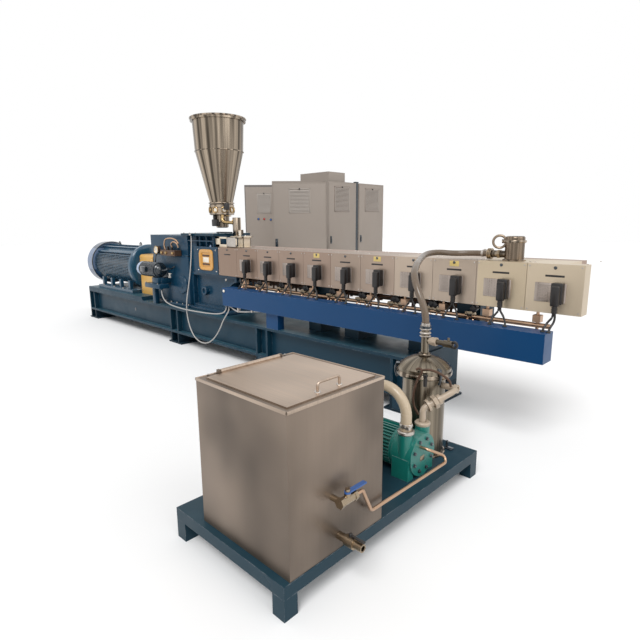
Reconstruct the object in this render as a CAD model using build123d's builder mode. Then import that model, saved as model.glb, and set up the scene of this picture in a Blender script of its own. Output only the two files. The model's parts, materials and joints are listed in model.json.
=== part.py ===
from build123d import *
import math
import os

os.makedirs("parts", exist_ok=True)

# The frame: X runs along the barrel towards the die, Y away from the operator, Z up.
# The origin is on the floor, at the middle of the base's second leg.

# Barrel and covers
section_length = 300.0
section_count = 11
barrel_start = 722.0
cover_half = 200.0
cover_bottom = 790.0
cover_top = 1060.0
cover_wall = 95.0
cover_seam = 2.0
barrel_side = 190.0
barrel_overlap = 110.0
flange_thickness = 60.0
flange_side = 208.0
screw_radius = 38.0
screw_spacing = 62.0
die_bolt_spacing = 160.0
die_bolt_radius = 9.0
lid_thickness = 26.0

# Base frame
base_left = -2292.0
base_right = 3052.0
base_half = 320.0
base_top = 397.0
base_bottom = 119.0
base_plate = 22.0
base_web = 16.0
web_inset = 62.0
leg_width = 162.0
leg_plate = 20.0
foot_plate = 16.0
foot_margin = 48.0
anchor_radius = 11.0
leg_places = (base_left + leg_width / 2, 0.0, 1500.0, base_right - leg_width / 2)

# Motor
motor_plate_end = -728.0
motor_plate_top = 441.0
motor_axis = 763.0
motor_radius = 255.0
motor_back = -2180.0
motor_front = -1035.0
cowl_radius = 285.0
cowl_end = -2373.0
bell_length = 90.0
fin_count = 40
fin_height = 22.0
fin_width = 7.0

# Coupling guard
guard_half = 160.0
guard_gap = 16.0
guard_length = 330.0
guard_sheet = 5.0

# Gearbox
gearbox_left = -578.0
gearbox_split = 182.0
gearbox_right = 702.0
gearbox_half = 215.0
gearbox_ledge = 950.0
gearbox_top = 1168.0
lantern_left = 302.0

# Tray for the heater cables
tray_left = 982.0
tray_right = 3898.0
tray_front = -350.0
tray_depth = 120.0
tray_bottom = 534.0
tray_top = 700.0

# Feed hopper
hopper_x = 532.0
hopper_rim_z = 2296.0
hopper_rim_radius = 270.0
hopper_radius = 250.0
hopper_waist_radius = 236.0
hopper_cone_top = 1985.0
hopper_cone_bottom = 1480.0
hopper_outlet_radius = 112.0
hopper_wall = 6.0
throat_x = 862.0
throat_side = 150.0
throat_top = 1165.0

# Vent and vacuum hose
vent_x = 3598.0
vent_y = -90.0
vent_radius = 55.0
vent_top = 1203.0
hose_radius = 18.0

# Skid, tank, pump and condenser
skid_left = 3078.0
skid_right = 3744.0
skid_front = -2069.0
skid_back = -739.0
skid_top = 132.0
skid_rail = 50.0
skid_leg = 60.0
tank_left = 3240.0
tank_front = -2040.0
tank_width = 502.0
tank_depth = 492.0
tank_top = 720.0
tank_wall = 6.0
tank_rim = 34.0
lid_sheet = 5.0
lid_overlap = 10.0
seat_gap = 0.3
pump_x = 3622.0
pump_y = -1142.0
pump_axis = 232.0
port_top = 344.0
port_spacing = 138.0
condenser_x = 3522.0
condenser_y = -913.0
condenser_radius = 106.0
condenser_body_top = 560.0
stub_top = 772.0

# Control cabinets: left front corner, turn, height and width of each
cabinet_depth = 500.0
cabinet_wall = 20.0
door_thickness = 16.0
door_gap = 8.0
hinge_inset = 10.0
hinge_edge = 6.0
pin_radius = 5.0
pin_clearance = 0.3


def block(x0, x1, y0, y1, z0, z1, mode=Mode.ADD):
    """A block between two corners."""
    with Locations(((x0 + x1) / 2, (y0 + y1) / 2, (z0 + z1) / 2)):
        Box(x1 - x0, y1 - y0, z1 - z0, mode=mode)


def rod(start, end, radius, mode=Mode.ADD):
    """A round bar from one point to another."""
    run = Vector(*end) - Vector(*start)
    with Locations(Plane(origin=start, z_dir=run).location):
        Cylinder(radius, run.length, align=(Align.CENTER, Align.CENTER, Align.MIN), mode=mode)


def pipe(points, radius, bends):
    """A round bar bent along straight runs joined by tangent arcs."""
    with BuildLine() as route:
        FilletPolyline(*points, radius=bends)
    run = Vector(*points[1]) - Vector(*points[0])
    with BuildSketch(Plane(origin=points[0], z_dir=run)) as section:
        Circle(radius)
    sweep(sections=section.sketch, path=route.wires()[0])


def cord_bends(points):
    """The arc radius at each corner: 0.45 of the shorter run over the tangent of half the turn."""
    radii = []
    for before, here, after in zip(points, points[1:], points[2:]):
        first = Vector(*here) - Vector(*before)
        second = Vector(*after) - Vector(*here)
        half_turn = math.radians(first.get_angle(second)) / 2
        radii.append(0.45 * min(first.length, second.length) / math.tan(half_turn))
    return radii


barrel_end = barrel_start + section_length * section_count
barrel_stop = barrel_end - barrel_overlap
cover_middle = (cover_bottom + cover_top) / 2

# Base frame: two channels with their webs set in, a top plate and end plates
with BuildPart() as base_frame:
    block(base_left, base_right, -base_half, base_half, base_top - base_plate, base_top)
    for side in (-1, 1):
        outer = side * base_half
        inner = side * (base_half - 2 * web_inset)
        low, high = sorted((outer, inner))
        block(base_left, base_right, low, high, base_bottom, base_bottom + base_plate)
        web = side * (base_half - web_inset)
        block(base_left, base_right, web - base_web / 2, web + base_web / 2,
              base_bottom + base_plate, base_top - base_plate)
        for leg_x in leg_places:
            for edge in (-1, 1):
                rib = leg_x + edge * (leg_width - leg_plate) / 2
                block(rib - leg_plate / 2, rib + leg_plate / 2, low, high,
                      base_bottom + base_plate, base_top - base_plate)
    for end in (base_left, base_right - base_plate):
        block(end, end + base_plate, -base_half + web_inset, base_half - web_inset,
              base_bottom + base_plate, base_top - base_plate)
base_frame.part.label = "base_frame"
export_step(base_frame.part, "parts/base_frame.step")

# Legs: two plates on a foot plate with anchor holes
anchor_x = leg_width / 2 + foot_margin / 2
anchor_y = base_half - 60.0
with BuildPart() as base_legs:
    for leg_x in leg_places:
        reach = leg_width / 2 + foot_margin
        block(leg_x - reach, leg_x + reach, -base_half, base_half, 0, foot_plate)
        for edge in (-1, 1):
            plate = leg_x + edge * (leg_width - leg_plate) / 2
            block(plate - leg_plate / 2, plate + leg_plate / 2, -base_half, base_half,
                  foot_plate, base_bottom)
        block(leg_x - leg_width / 2, leg_x + leg_width / 2, -leg_plate / 2, leg_plate / 2,
              foot_plate, base_bottom)
        for side_x in (-1, 1):
            for side_y in (-1, 1):
                place = (leg_x + side_x * anchor_x, side_y * anchor_y)
                rod((*place, 0), (*place, foot_plate), anchor_radius, mode=Mode.SUBTRACT)
base_legs.part.label = "base_legs"
export_step(base_legs.part, "parts/base_legs.step")

# Motor plate: the raised top of the base under the motor, with a sloped end
with BuildPart() as motor_plate:
    with BuildSketch(Plane.XZ.offset(-base_half)):
        with BuildLine():
            Polyline((base_left, base_top), (motor_plate_end + 30, base_top),
                     (motor_plate_end, motor_plate_top), (base_left, motor_plate_top), close=True)
        make_face()
    extrude(amount=2 * base_half)
motor_plate.part.label = "motor_plate"
export_step(motor_plate.part, "parts/motor_plate.step")

# Motor: a ribbed round body with a bell at each end and the shaft
with BuildPart() as motor_body:
    with BuildSketch(Plane.YZ.offset(motor_back)):
        with Locations((0, motor_axis)):
            Circle(motor_radius - fin_height)
            with PolarLocations(motor_radius - fin_height / 2 - 4, fin_count):
                Rectangle(fin_height + 8, fin_width)
    extrude(amount=motor_front - bell_length - motor_back)
    rod((motor_front - bell_length, 0, motor_axis), (motor_front, 0, motor_axis),
        motor_radius + 20)
    rod((motor_front, 0, motor_axis), (gearbox_left, 0, motor_axis), 40)
motor_body.part.label = "motor_body"
export_step(motor_body.part, "parts/motor_body.step")

with BuildPart() as motor_cowl:
    rod((cowl_end, 0, motor_axis), (motor_back, 0, motor_axis), cowl_radius)
    fillet(motor_cowl.faces().sort_by(Axis.X)[0].edges(), radius=28)
motor_cowl.part.label = "motor_cowl"
export_step(motor_cowl.part, "parts/motor_cowl.step")

foot_half = 240.0
with BuildPart() as motor_feet:
    for side in (-1, 1):
        low, high = sorted((side * (foot_half + 30), side * (foot_half - 90)))
        block(motor_back + 120, motor_front - 20, low, high, motor_plate_top, motor_plate_top + 42)
        for step in range(4):
            rib = motor_back + 180 + step * 260
            low, high = sorted((side * (foot_half - 10), side * (foot_half - 50)))
            block(rib - 22, rib + 22, low, high, motor_plate_top + 42, motor_axis - 174)
motor_feet.part.label = "motor_feet"
export_step(motor_feet.part, "parts/motor_feet.step")

# Guard over the coupling: an arch of sheet
guard_left = motor_front + guard_gap
guard_right = guard_left + guard_length
with BuildPart() as coupling_guard:
    with BuildSketch(Plane.YZ.offset(guard_left)):
        with Locations((0, motor_axis)):
            Circle(guard_half)
        with Locations((0, (motor_axis + motor_plate_top) / 2)):
            Rectangle(2 * guard_half, motor_axis - motor_plate_top)
        with Locations((0, motor_axis)):
            Circle(guard_half - guard_sheet, mode=Mode.SUBTRACT)
        with Locations((0, (motor_axis + motor_plate_top) / 2)):
            Rectangle(2 * (guard_half - guard_sheet), motor_axis - motor_plate_top,
                      mode=Mode.SUBTRACT)
    extrude(amount=guard_length)
coupling_guard.part.label = "coupling_guard"
export_step(coupling_guard.part, "parts/coupling_guard.step")

# Gearbox: the housing, its upper block and its top plate
with BuildPart() as gearbox_housing:
    block(gearbox_left, gearbox_split, -gearbox_half, gearbox_half, base_top, gearbox_ledge)
    block(gearbox_split, lantern_left, -gearbox_half + 40, gearbox_half - 40,
          base_top, gearbox_top)
    block(lantern_left, gearbox_right - 5, -gearbox_half + 60, gearbox_half - 60,
          cover_top, gearbox_top)
gearbox_housing.part.label = "gearbox_housing"
export_step(gearbox_housing.part, "parts/gearbox_housing.step")

with BuildPart() as gearbox_block:
    block(gearbox_left - 34, gearbox_split, -gearbox_half + 8, gearbox_half - 8,
          gearbox_ledge, gearbox_top)
gearbox_block.part.label = "gearbox_block"
export_step(gearbox_block.part, "parts/gearbox_block.step")

# The top plate, with a clip on its front edge for the feeder's cable
clip_x = 316.0
clip_y = -240.0
with BuildPart() as gearbox_lid:
    block(gearbox_split - 90, gearbox_right - 10, -gearbox_half - 12, gearbox_half + 12,
          gearbox_top, gearbox_top + 22)
    block(clip_x - 12, clip_x + 12, clip_y - 12, -gearbox_half - 12, gearbox_top, gearbox_top + 22)
gearbox_lid.part.label = "gearbox_lid"
export_step(gearbox_lid.part, "parts/gearbox_lid.step")

with BuildPart() as lantern_housing:
    block(lantern_left, barrel_start - cover_seam, -cover_half - 5, cover_half + 5,
          cover_bottom, cover_top)
lantern_housing.part.label = "lantern_housing"
export_step(lantern_housing.part, "parts/lantern_housing.step")

pedestal_right = barrel_start + 255.0
pedestal_foot = barrel_start + 60.0
with BuildPart() as feed_pedestal:
    with BuildSketch(Plane.XZ.offset(-cover_half + 20)):
        with BuildLine():
            Polyline((pedestal_foot, base_top), (lantern_left, base_top),
                     (lantern_left, cover_bottom), (pedestal_right, cover_bottom),
                     (pedestal_right, cover_bottom - 60))
            ThreePointArc((pedestal_right, cover_bottom - 60),
                          (pedestal_foot + 70, (base_top + cover_bottom) / 2 - 10),
                          (pedestal_foot, base_top))
        make_face()
    extrude(amount=2 * (cover_half - 20))
feed_pedestal.part.label = "feed_pedestal"
export_step(feed_pedestal.part, "parts/feed_pedestal.step")

# Oil pump set on the gearbox's front, with a cable gland under its bracket
gland_length = 16.0
pump_gland_x = -160.0
cable_front = -355.0
cable_radius = 6.0
oil_y = -gearbox_half - 115.0
with BuildPart() as oil_pump:
    rod((-560, oil_y, 715), (-290, oil_y, 715), 68)
    rod((-600, oil_y, 715), (-560, oil_y, 715), 52)
    rod((-290, oil_y, 715), (-200, oil_y, 715), 42)
    block(-300, -190, oil_y - 45, -gearbox_half, 600, 660)
    block(-470, pump_gland_x + 20, oil_y - 60, oil_y + 60, 590, 640)
    block(-440, -380, -base_half, oil_y + 60, base_top, 590)
    rod((pump_gland_x, cable_front, 590), (pump_gland_x, cable_front, 590 - gland_length), 11)
oil_pump.part.label = "oil_pump"
export_step(oil_pump.part, "parts/oil_pump.step")

with BuildPart() as oil_block:
    block(-240, 60, -gearbox_half - 80, -gearbox_half, gearbox_ledge, gearbox_ledge + 60)
    rod((-430, -gearbox_half - 30, 1000), (-430, -gearbox_half + 8, 1000), 42)
oil_block.part.label = "oil_block"
export_step(oil_block.part, "parts/oil_block.step")

# Barrel: square sections bolted end to end
barrel_low = cover_middle - barrel_side / 2
barrel_high = cover_middle + barrel_side / 2
with BuildPart() as barrel:
    block(barrel_start, barrel_stop - flange_thickness, -barrel_side / 2, barrel_side / 2,
          barrel_low, barrel_high)
barrel.part.label = "barrel"
export_step(barrel.part, "parts/barrel.step")

# Flange at the die end, with the mouth of the two screw bores and the die bolts around it
flange_start = barrel_stop - flange_thickness
with BuildPart() as barrel_flange:
    with BuildSketch(Plane.YZ.offset(flange_start)):
        with Locations((0, cover_middle)):
            Rectangle(flange_side, flange_side)
            with Locations((-screw_spacing / 2, 0), (screw_spacing / 2, 0)):
                Circle(screw_radius, mode=Mode.SUBTRACT)
            with GridLocations(die_bolt_spacing, die_bolt_spacing, 2, 2):
                Circle(die_bolt_radius, mode=Mode.SUBTRACT)
    extrude(amount=flange_thickness)
    chamfer(barrel_flange.edges().filter_by(Axis.X).group_by(SortBy.LENGTH)[-1]
            .filter_by(lambda edge: abs(edge.center().Y) > flange_side / 2 - 1), length=6)
barrel_flange.part.label = "barrel_flange"
export_step(barrel_flange.part, "parts/barrel_flange.step")

# Covers: a front and a back box on each section, and lids between them
with BuildPart() as front_covers:
    for section in range(section_count):
        left = barrel_start + section * section_length
        block(left, left + section_length - cover_seam, -cover_half, -cover_half + cover_wall,
              cover_bottom, cover_top)
front_covers.part.label = "front_covers"
export_step(front_covers.part, "parts/front_covers.step")

with BuildPart() as back_covers:
    for section in range(section_count):
        left = barrel_start + section * section_length
        right = min(left + section_length - cover_seam, barrel_stop)
        block(left, right, cover_half - cover_wall, cover_half, cover_bottom, cover_top)
back_covers.part.label = "back_covers"
export_step(back_covers.part, "parts/back_covers.step")

with BuildPart() as top_covers:
    block(barrel_start, barrel_stop, -cover_half + cover_wall, cover_half - cover_wall,
          cover_top - lid_thickness, cover_top)
    block(barrel_start, flange_start, -barrel_side / 2, barrel_side / 2,
          barrel_high, cover_top - lid_thickness)
    block(throat_x - throat_side / 2, throat_x + throat_side / 2,
          -throat_side / 2, throat_side / 2, barrel_high, cover_top, mode=Mode.SUBTRACT)
top_covers.part.label = "top_covers"
export_step(top_covers.part, "parts/top_covers.step")

# Heater plugs: a plate, a socket and a plug on each heated section
plug_size = 100.0
plug_bottom = 850.0
plug_depth = 62.0
with BuildPart() as heater_plugs:
    for section in range(1, section_count):
        middle = barrel_start + (section + 0.5) * section_length - 60
        block(middle - 70, middle + 70, -cover_half - 4, -cover_half, plug_bottom, plug_bottom + 105)
        block(middle - 34, middle + 34, -cover_half - plug_depth, -cover_half - 4,
              plug_bottom - 4, plug_bottom + 109)
        block(middle - 28, middle + 28, -cover_half - plug_depth, -cover_half - 24,
              plug_bottom - 40, plug_bottom - 4)
heater_plugs.part.label = "heater_plugs"
export_step(heater_plugs.part, "parts/heater_plugs.step")

# Leads from the plugs down to the tray
lead_radius = 9.0
with BuildPart() as heater_leads:
    for section in range(1, section_count):
        middle = barrel_start + (section + 0.5) * section_length - 60
        top = (middle, -cover_half - 43, plug_bottom - 40)
        bottom = (middle + 20, -cover_half - 90, tray_top)
        pipe([top, (middle, -cover_half - 43, 780), (middle + 20, -cover_half - 90, 735), bottom],
             lead_radius, [24, 24])
heater_leads.part.label = "heater_leads"
export_step(heater_leads.part, "parts/heater_leads.step")

# Tray: a closed box beam under the plugs, with two glands under its left end
tray_gland_a = 1038.0
tray_gland_b = 996.0
tray_gland_y = -321.0
tray_gland_z = tray_bottom - 8
with BuildPart() as cable_tray:
    block(tray_left, tray_right, tray_front, tray_front + tray_depth, tray_bottom, tray_top)
    for gland_x in (tray_gland_a, tray_gland_b):
        rod((gland_x, tray_gland_y, tray_bottom), (gland_x, tray_gland_y, tray_gland_z), 11)
cable_tray.part.label = "cable_tray"
export_step(cable_tray.part, "parts/cable_tray.step")

post_left = barrel_start + 854.0
post_width = 150.0
rail_half = 120.0
rail_bottom = 470.0
rail_top = 530.0
rail_left = 1900.0
rail_right = 3450.0
with BuildPart() as tray_posts:
    block(post_left, post_left + post_width, -base_half, -base_half + 70, base_top, tray_bottom)
    for place in (2000.0, 3300.0):
        block(place, place + 90, tray_front + tray_depth, -rail_half, tray_bottom + 20,
              tray_bottom + 100)
        block(place, place + 90, -rail_half - 20, -rail_half, rail_top - 40, tray_bottom + 20)
tray_posts.part.label = "tray_posts"
export_step(tray_posts.part, "parts/tray_posts.step")

# The feeder's cable hangs from its clip in a loop in front of the base, up to the tray
feeder_route = [
    (clip_x, clip_y, gearbox_top), (clip_x, clip_y, 1105), (321, -250, 1015), (328, -267, 905),
    (329, -284, 790), (322, -302, 675), (316, -322, 570), (313, -337, 475), (315, -341, 380),
    (340, -343, 288), (388, -346, 204), (457, -349, 140), (550, -350, 108), (655, -350, 108),
    (754, -350, 147), (842, -350, 213), (915, -350, 295), (968, -347, 380), (1008, -338, 436),
    (1030, -327, 470), (tray_gland_a, tray_gland_y, 500), (tray_gland_a, tray_gland_y, tray_gland_z),
]
with BuildPart() as feeder_cable:
    pipe(feeder_route, cable_radius, cord_bends(feeder_route))
feeder_cable.part.label = "feeder_cable"
export_step(feeder_cable.part, "parts/feeder_cable.step")

# The oil pump's cable hangs along the base's edge to the tray
pump_route = [
    (pump_gland_x, cable_front, 590 - gland_length), (pump_gland_x, cable_front, 538),
    (-144, -355, 504), (-104, -356, 468), (-40, -357, 444), (55, -358, 430), (175, -358, 421),
    (320, -358, 417), (470, -358, 419), (610, -358, 423), (730, -357, 427), (830, -353, 433),
    (900, -346, 441), (944, -339, 450), (972, -331, 464), (990, -325, 486),
    (tray_gland_b, tray_gland_y, 508), (tray_gland_b, tray_gland_y, tray_gland_z),
]
with BuildPart() as pump_cable:
    pipe(pump_route, cable_radius, cord_bends(pump_route))
pump_cable.part.label = "pump_cable"
export_step(pump_cable.part, "parts/pump_cable.step")

# Rails and pedestals that carry the barrel
pedestal_places = (barrel_start + 1330.0, barrel_start + 2610.0)
with BuildPart() as barrel_rail:
    block(rail_left, rail_right, -rail_half, rail_half, rail_bottom, rail_top)
    for place in (rail_left, 2300.0, 2900.0):
        block(place, place + 140, -rail_half, rail_half, base_top, rail_bottom)
barrel_rail.part.label = "barrel_rail"
export_step(barrel_rail.part, "parts/barrel_rail.step")

with BuildPart() as barrel_pedestals:
    for place in pedestal_places:
        block(place - 120, place + 120, -rail_half, rail_half, rail_top, rail_top + 24)
        block(place - 80, place + 80, -rail_half + 20, rail_half - 20, rail_top + 24,
              barrel_low - 20)
        block(place - 110, place + 110, -barrel_side / 2, barrel_side / 2, barrel_low - 20,
              barrel_low)
barrel_pedestals.part.label = "barrel_pedestals"
export_step(barrel_pedestals.part, "parts/barrel_pedestals.step")

# Cooling water pipes: two manifolds under the barrel with a riser for each section
manifold_y = -150.0
with BuildPart() as cooling_pipes:
    for height in (650.0, 705.0):
        rod((tray_left + 60, manifold_y, height), (barrel_stop - 60, manifold_y, height), 14)
    for section in range(1, section_count):
        riser = barrel_start + section * section_length + 60
        rod((riser, manifold_y, 640), (riser, manifold_y, cover_bottom), 9)
        block(riser - 22, riser + 22, manifold_y - 22, manifold_y + 22, 725, 765)
cooling_pipes.part.label = "cooling_pipes"
export_step(cooling_pipes.part, "parts/cooling_pipes.step")

# Hopper: a round shell with a rolled rim, a cone and an outlet
with BuildPart() as hopper:
    with BuildSketch(Plane.XZ):
        with BuildLine():
            Polyline((hopper_x + hopper_outlet_radius, hopper_cone_bottom),
                     (hopper_x + hopper_waist_radius, hopper_cone_top),
                     (hopper_x + hopper_radius, hopper_rim_z - 30),
                     (hopper_x + hopper_rim_radius, hopper_rim_z - 30),
                     (hopper_x + hopper_rim_radius, hopper_rim_z),
                     (hopper_x + hopper_radius - hopper_wall, hopper_rim_z),
                     (hopper_x + hopper_waist_radius - hopper_wall, hopper_cone_top),
                     (hopper_x + hopper_outlet_radius - hopper_wall, hopper_cone_bottom),
                     close=True)
        make_face()
    revolve(axis=Axis((hopper_x, 0, 0), (0, 0, 1)))
hopper.part.label = "hopper"
export_step(hopper.part, "parts/hopper.step")

# Feeder under the hopper: a ring with sight glasses and a neck
feeder_bottom = 1245.0
with BuildPart() as feeder_neck:
    rod((hopper_x, 0, 1372), (hopper_x, 0, hopper_cone_bottom), hopper_outlet_radius + 10)
    rod((hopper_x, 0, feeder_bottom), (hopper_x, 0, 1372), 62)
    rod((hopper_x, 0, 1290), (790, 0, 1290), 46)
feeder_neck.part.label = "feeder_neck"
export_step(feeder_neck.part, "parts/feeder_neck.step")

with BuildPart() as feed_chute:
    block(790, 870, -40, 40, throat_top, 1345)
feed_chute.part.label = "feed_chute"
export_step(feed_chute.part, "parts/feed_chute.step")

throat_wall = 8.0
with BuildPart() as feed_throat:
    block(throat_x - throat_side / 2, throat_x + throat_side / 2, -throat_side / 2, throat_side / 2,
          barrel_high, throat_top)
    block(throat_x - throat_side / 2 - 18, throat_x + throat_side / 2 + 18,
          -throat_side / 2 - 18, throat_side / 2 + 18, throat_top - 18, throat_top)
    block(throat_x - throat_side / 2 + throat_wall, throat_x + throat_side / 2 - throat_wall,
          -throat_side / 2 + throat_wall, throat_side / 2 - throat_wall,
          barrel_high, throat_top, mode=Mode.SUBTRACT)
    block(785, 875, -throat_side / 2 - 18, throat_side / 2 + 18, throat_top - 8, throat_top)
feed_throat.part.label = "feed_throat"
export_step(feed_throat.part, "parts/feed_throat.step")

with BuildPart() as feed_bracket:
    block(706, 846, -150, -138, cover_top, cover_top + 112)
    block(724, 774, -150, -138, cover_top + 25, cover_top + 90, mode=Mode.SUBTRACT)
feed_bracket.part.label = "feed_bracket"
export_step(feed_bracket.part, "parts/feed_bracket.step")

# Vent stack with a clamped cap and a loop handle, and its side pipe
with BuildPart() as vent_stack:
    rod((vent_x, vent_y, cover_top), (vent_x, vent_y, vent_top), vent_radius)
    rod((vent_x, vent_y, vent_top - 36), (vent_x, vent_y, vent_top - 26), vent_radius + 7)
    fillet(vent_stack.faces().sort_by(Axis.Z)[-1].edges(), radius=12)
vent_stack.part.label = "vent_stack"
export_step(vent_stack.part, "parts/vent_stack.step")

union_x = vent_x - 162.0
hose_z = 1096.0
with BuildPart() as vent_pipe:
    rod((union_x, vent_y, hose_z), (vent_x - vent_radius + 8, vent_y, hose_z), 21)
    rod((union_x, vent_y, hose_z), (union_x + 26, vent_y, hose_z), 29)
    rod((vent_x, vent_y, cover_top), (vent_x, vent_y, vent_top), vent_radius, mode=Mode.SUBTRACT)
vent_pipe.part.label = "vent_pipe"
export_step(vent_pipe.part, "parts/vent_pipe.step")

# Vacuum hose from the vent to the condenser's top pipe
hose_route = [
    (union_x, vent_y, hose_z), (3338, vent_y, hose_z), (3236, -140, 1091), (3173, -234, 1102),
    (3163, -352, 1097), (3208, -477, 1079), (3274, -602, 1073), (3336, -722, 1065),
    (3390, -828, 1036), (3430, -879, 996), (3471, -907, 944), (3507, -914, 881),
    (condenser_x, condenser_y, 824), (condenser_x, condenser_y, stub_top),
]
with BuildPart() as vacuum_hose:
    pipe(hose_route, hose_radius, cord_bends(hose_route))
vacuum_hose.part.label = "vacuum_hose"
export_step(vacuum_hose.part, "parts/vacuum_hose.step")

# Skid: rails and a plate, on legs
with BuildPart() as skid_frame:
    block(skid_left, skid_right, skid_front, skid_back, skid_top - skid_rail, skid_top)
skid_frame.part.label = "skid_frame"
export_step(skid_frame.part, "parts/skid_frame.step")

with BuildPart() as skid_legs:
    for leg_x in (skid_left, skid_right - skid_leg):
        for leg_y in (skid_front, skid_back - skid_leg):
            block(leg_x, leg_x + skid_leg, leg_y, leg_y + skid_leg, 0, skid_top - skid_rail)
skid_legs.part.label = "skid_legs"
export_step(skid_legs.part, "parts/skid_legs.step")

# Tank: an open box with a rim, and hinge lugs on its left edge
tank_right = tank_left + tank_width
tank_back = tank_front + tank_depth
lid_hinge_x = tank_left + 18.0
lid_hinge_z = tank_top + 9.0
with BuildPart() as tank_body:
    block(tank_left, tank_right, tank_front, tank_back, skid_top, tank_top)
    block(tank_left + tank_wall, tank_right - tank_wall, tank_front + tank_wall,
          tank_back - tank_wall, skid_top + tank_wall, tank_top - tank_wall, mode=Mode.SUBTRACT)
    block(tank_left + tank_rim, tank_right - tank_rim, tank_front + tank_rim,
          tank_back - tank_rim, tank_top - tank_wall, tank_top, mode=Mode.SUBTRACT)
    for lug_y in (tank_front + 90, tank_back - 90):
        block(lid_hinge_x - 8, lid_hinge_x + 8, lug_y - 6, lug_y + 6, tank_top, lid_hinge_z + 8)
    rod((lid_hinge_x, tank_front + 90, lid_hinge_z), (lid_hinge_x, tank_back - 90, lid_hinge_z),
        pin_radius)
tank_body.part.label = "tank_body"
export_step(tank_body.part, "parts/tank_body.step")

lid_left = lid_hinge_x + 14
lid_right = tank_right - tank_rim + lid_overlap
with BuildPart() as tank_lid:
    block(lid_left, lid_right, tank_front + tank_rim - lid_overlap,
          tank_back - tank_rim + lid_overlap, tank_top + seat_gap, tank_top + seat_gap + lid_sheet)
    tube = (tank_front + 96 + pin_clearance, tank_back - 96 - pin_clearance)
    rod((lid_hinge_x, tube[0], lid_hinge_z), (lid_hinge_x, tube[1], lid_hinge_z), 8.5)
    block(lid_hinge_x, lid_left + 4, tube[0], tube[1], tank_top + seat_gap, tank_top + 6)
    rod((lid_hinge_x, tube[0], lid_hinge_z), (lid_hinge_x, tube[1], lid_hinge_z),
        pin_radius + pin_clearance, mode=Mode.SUBTRACT)
    pull_y = (tank_front + tank_back) / 2
    pipe([(lid_right - 30, pull_y - 55, tank_top + 5), (lid_right - 30, pull_y - 55, tank_top + 38),
          (lid_right - 30, pull_y + 55, tank_top + 38), (lid_right - 30, pull_y + 55, tank_top + 5)],
         5, [12, 12])
tank_lid.part.label = "tank_lid"
export_step(tank_lid.part, "parts/tank_lid.step")

# Make-up water valve on the tank's right side, with its lever
valve_x = tank_right + 46.0
valve_z = 350.0
valve_front = -1850.0
valve_back = -1766.0
valve_middle = (valve_front + valve_back) / 2
stem_top = valve_z + 40.0
lever_bottom = valve_z + 24.0
with BuildPart() as tank_valve:
    rod((tank_right, valve_front + 14, valve_z), (valve_x, valve_front + 14, valve_z), 11)
    rod((valve_x, valve_front, valve_z), (valve_x, valve_back, valve_z), 16)
    rod((valve_x, valve_middle, valve_z), (valve_x, valve_middle, lever_bottom - seat_gap), 12)
    rod((valve_x, valve_middle, lever_bottom - 4), (valve_x, valve_middle, stem_top - 2),
        pin_radius)
    rod((valve_x, valve_middle, lever_bottom + 6 + seat_gap), (valve_x, valve_middle, stem_top), 9)
tank_valve.part.label = "tank_valve"
export_step(tank_valve.part, "parts/tank_valve.step")

with BuildPart() as tank_valve_lever:
    block(valve_x - 9, valve_x + 9, valve_middle, valve_middle + 95, lever_bottom, lever_bottom + 6)
    rod((valve_x, valve_middle, lever_bottom), (valve_x, valve_middle, lever_bottom + 6), 12)
    rod((valve_x, valve_middle, lever_bottom), (valve_x, valve_middle, lever_bottom + 6),
        pin_radius + pin_clearance, mode=Mode.SUBTRACT)
tank_valve_lever.part.label = "tank_valve_lever"
export_step(tank_valve_lever.part, "parts/tank_valve_lever.step")

# Drain at the tank's right side
drain_y = -1800.0
drain_z = 186.0
drain_radius = 15.0
drain_bore = 10.0
drain_end = tank_right + 110.0
with BuildPart() as drain_valve:
    rod((tank_right, drain_y, drain_z), (drain_end, drain_y, drain_z), drain_radius)
    rod((tank_right + 35, drain_y, drain_z), (tank_right + 75, drain_y, drain_z), 21)
    rod((drain_end - 30, drain_y, drain_z), (drain_end, drain_y, drain_z), drain_bore,
        mode=Mode.SUBTRACT)
drain_valve.part.label = "drain_valve"
export_step(drain_valve.part, "parts/drain_valve.step")

# Ring pump: the head with two ports, and its motor
with BuildPart() as pump_head:
    rod((pump_x - 60, pump_y, pump_axis), (pump_x + 50, pump_y, pump_axis), 100)
    for side in (-1, 1):
        port = pump_y + side * port_spacing / 2
        rod((pump_x, port, pump_axis), (pump_x, port, port_top), 34)
    for side in (-1, 1):
        low, high = sorted((pump_y + side * 104, pump_y + side * 60))
        block(pump_x - 50, pump_x + 40, low, high, skid_top, pump_axis)
pump_head.part.label = "pump_head"
export_step(pump_head.part, "parts/pump_head.step")

with BuildPart() as pump_motor:
    rod((pump_x - 350, pump_y, pump_axis + 8), (pump_x - 60, pump_y, pump_axis + 8), 96)
    block(pump_x - 300, pump_x - 110, pump_y - 80, pump_y + 80, skid_top, pump_axis - 40)
pump_motor.part.label = "pump_motor"
export_step(pump_motor.part, "parts/pump_motor.step")

# Discharge pipe from the front port to the tank's back
discharge_radius = 25.0
discharge_z = 545.0
with BuildPart() as discharge_pipe:
    front_port = pump_y - port_spacing / 2
    pipe([(pump_x, front_port, port_top), (pump_x, front_port, discharge_z),
          (3360, front_port, discharge_z), (3360, tank_back, discharge_z)],
         discharge_radius, [120, 60])
discharge_pipe.part.label = "discharge_pipe"
export_step(discharge_pipe.part, "parts/discharge_pipe.step")

# Suction pipe from the condenser's side to the back port
suction_radius = 15.0
suction_z = 500.0
with BuildPart() as suction_pipe:
    back_port = pump_y + port_spacing / 2
    pipe([(pump_x, back_port, port_top), (pump_x, back_port, 425),
          (3702, condenser_y - 40, suction_z - 8), (3702, condenser_y, suction_z),
          (condenser_x + condenser_radius, condenser_y, suction_z)],
         suction_radius, [30, 18, 18])
suction_pipe.part.label = "suction_pipe"
export_step(suction_pipe.part, "parts/suction_pipe.step")

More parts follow.
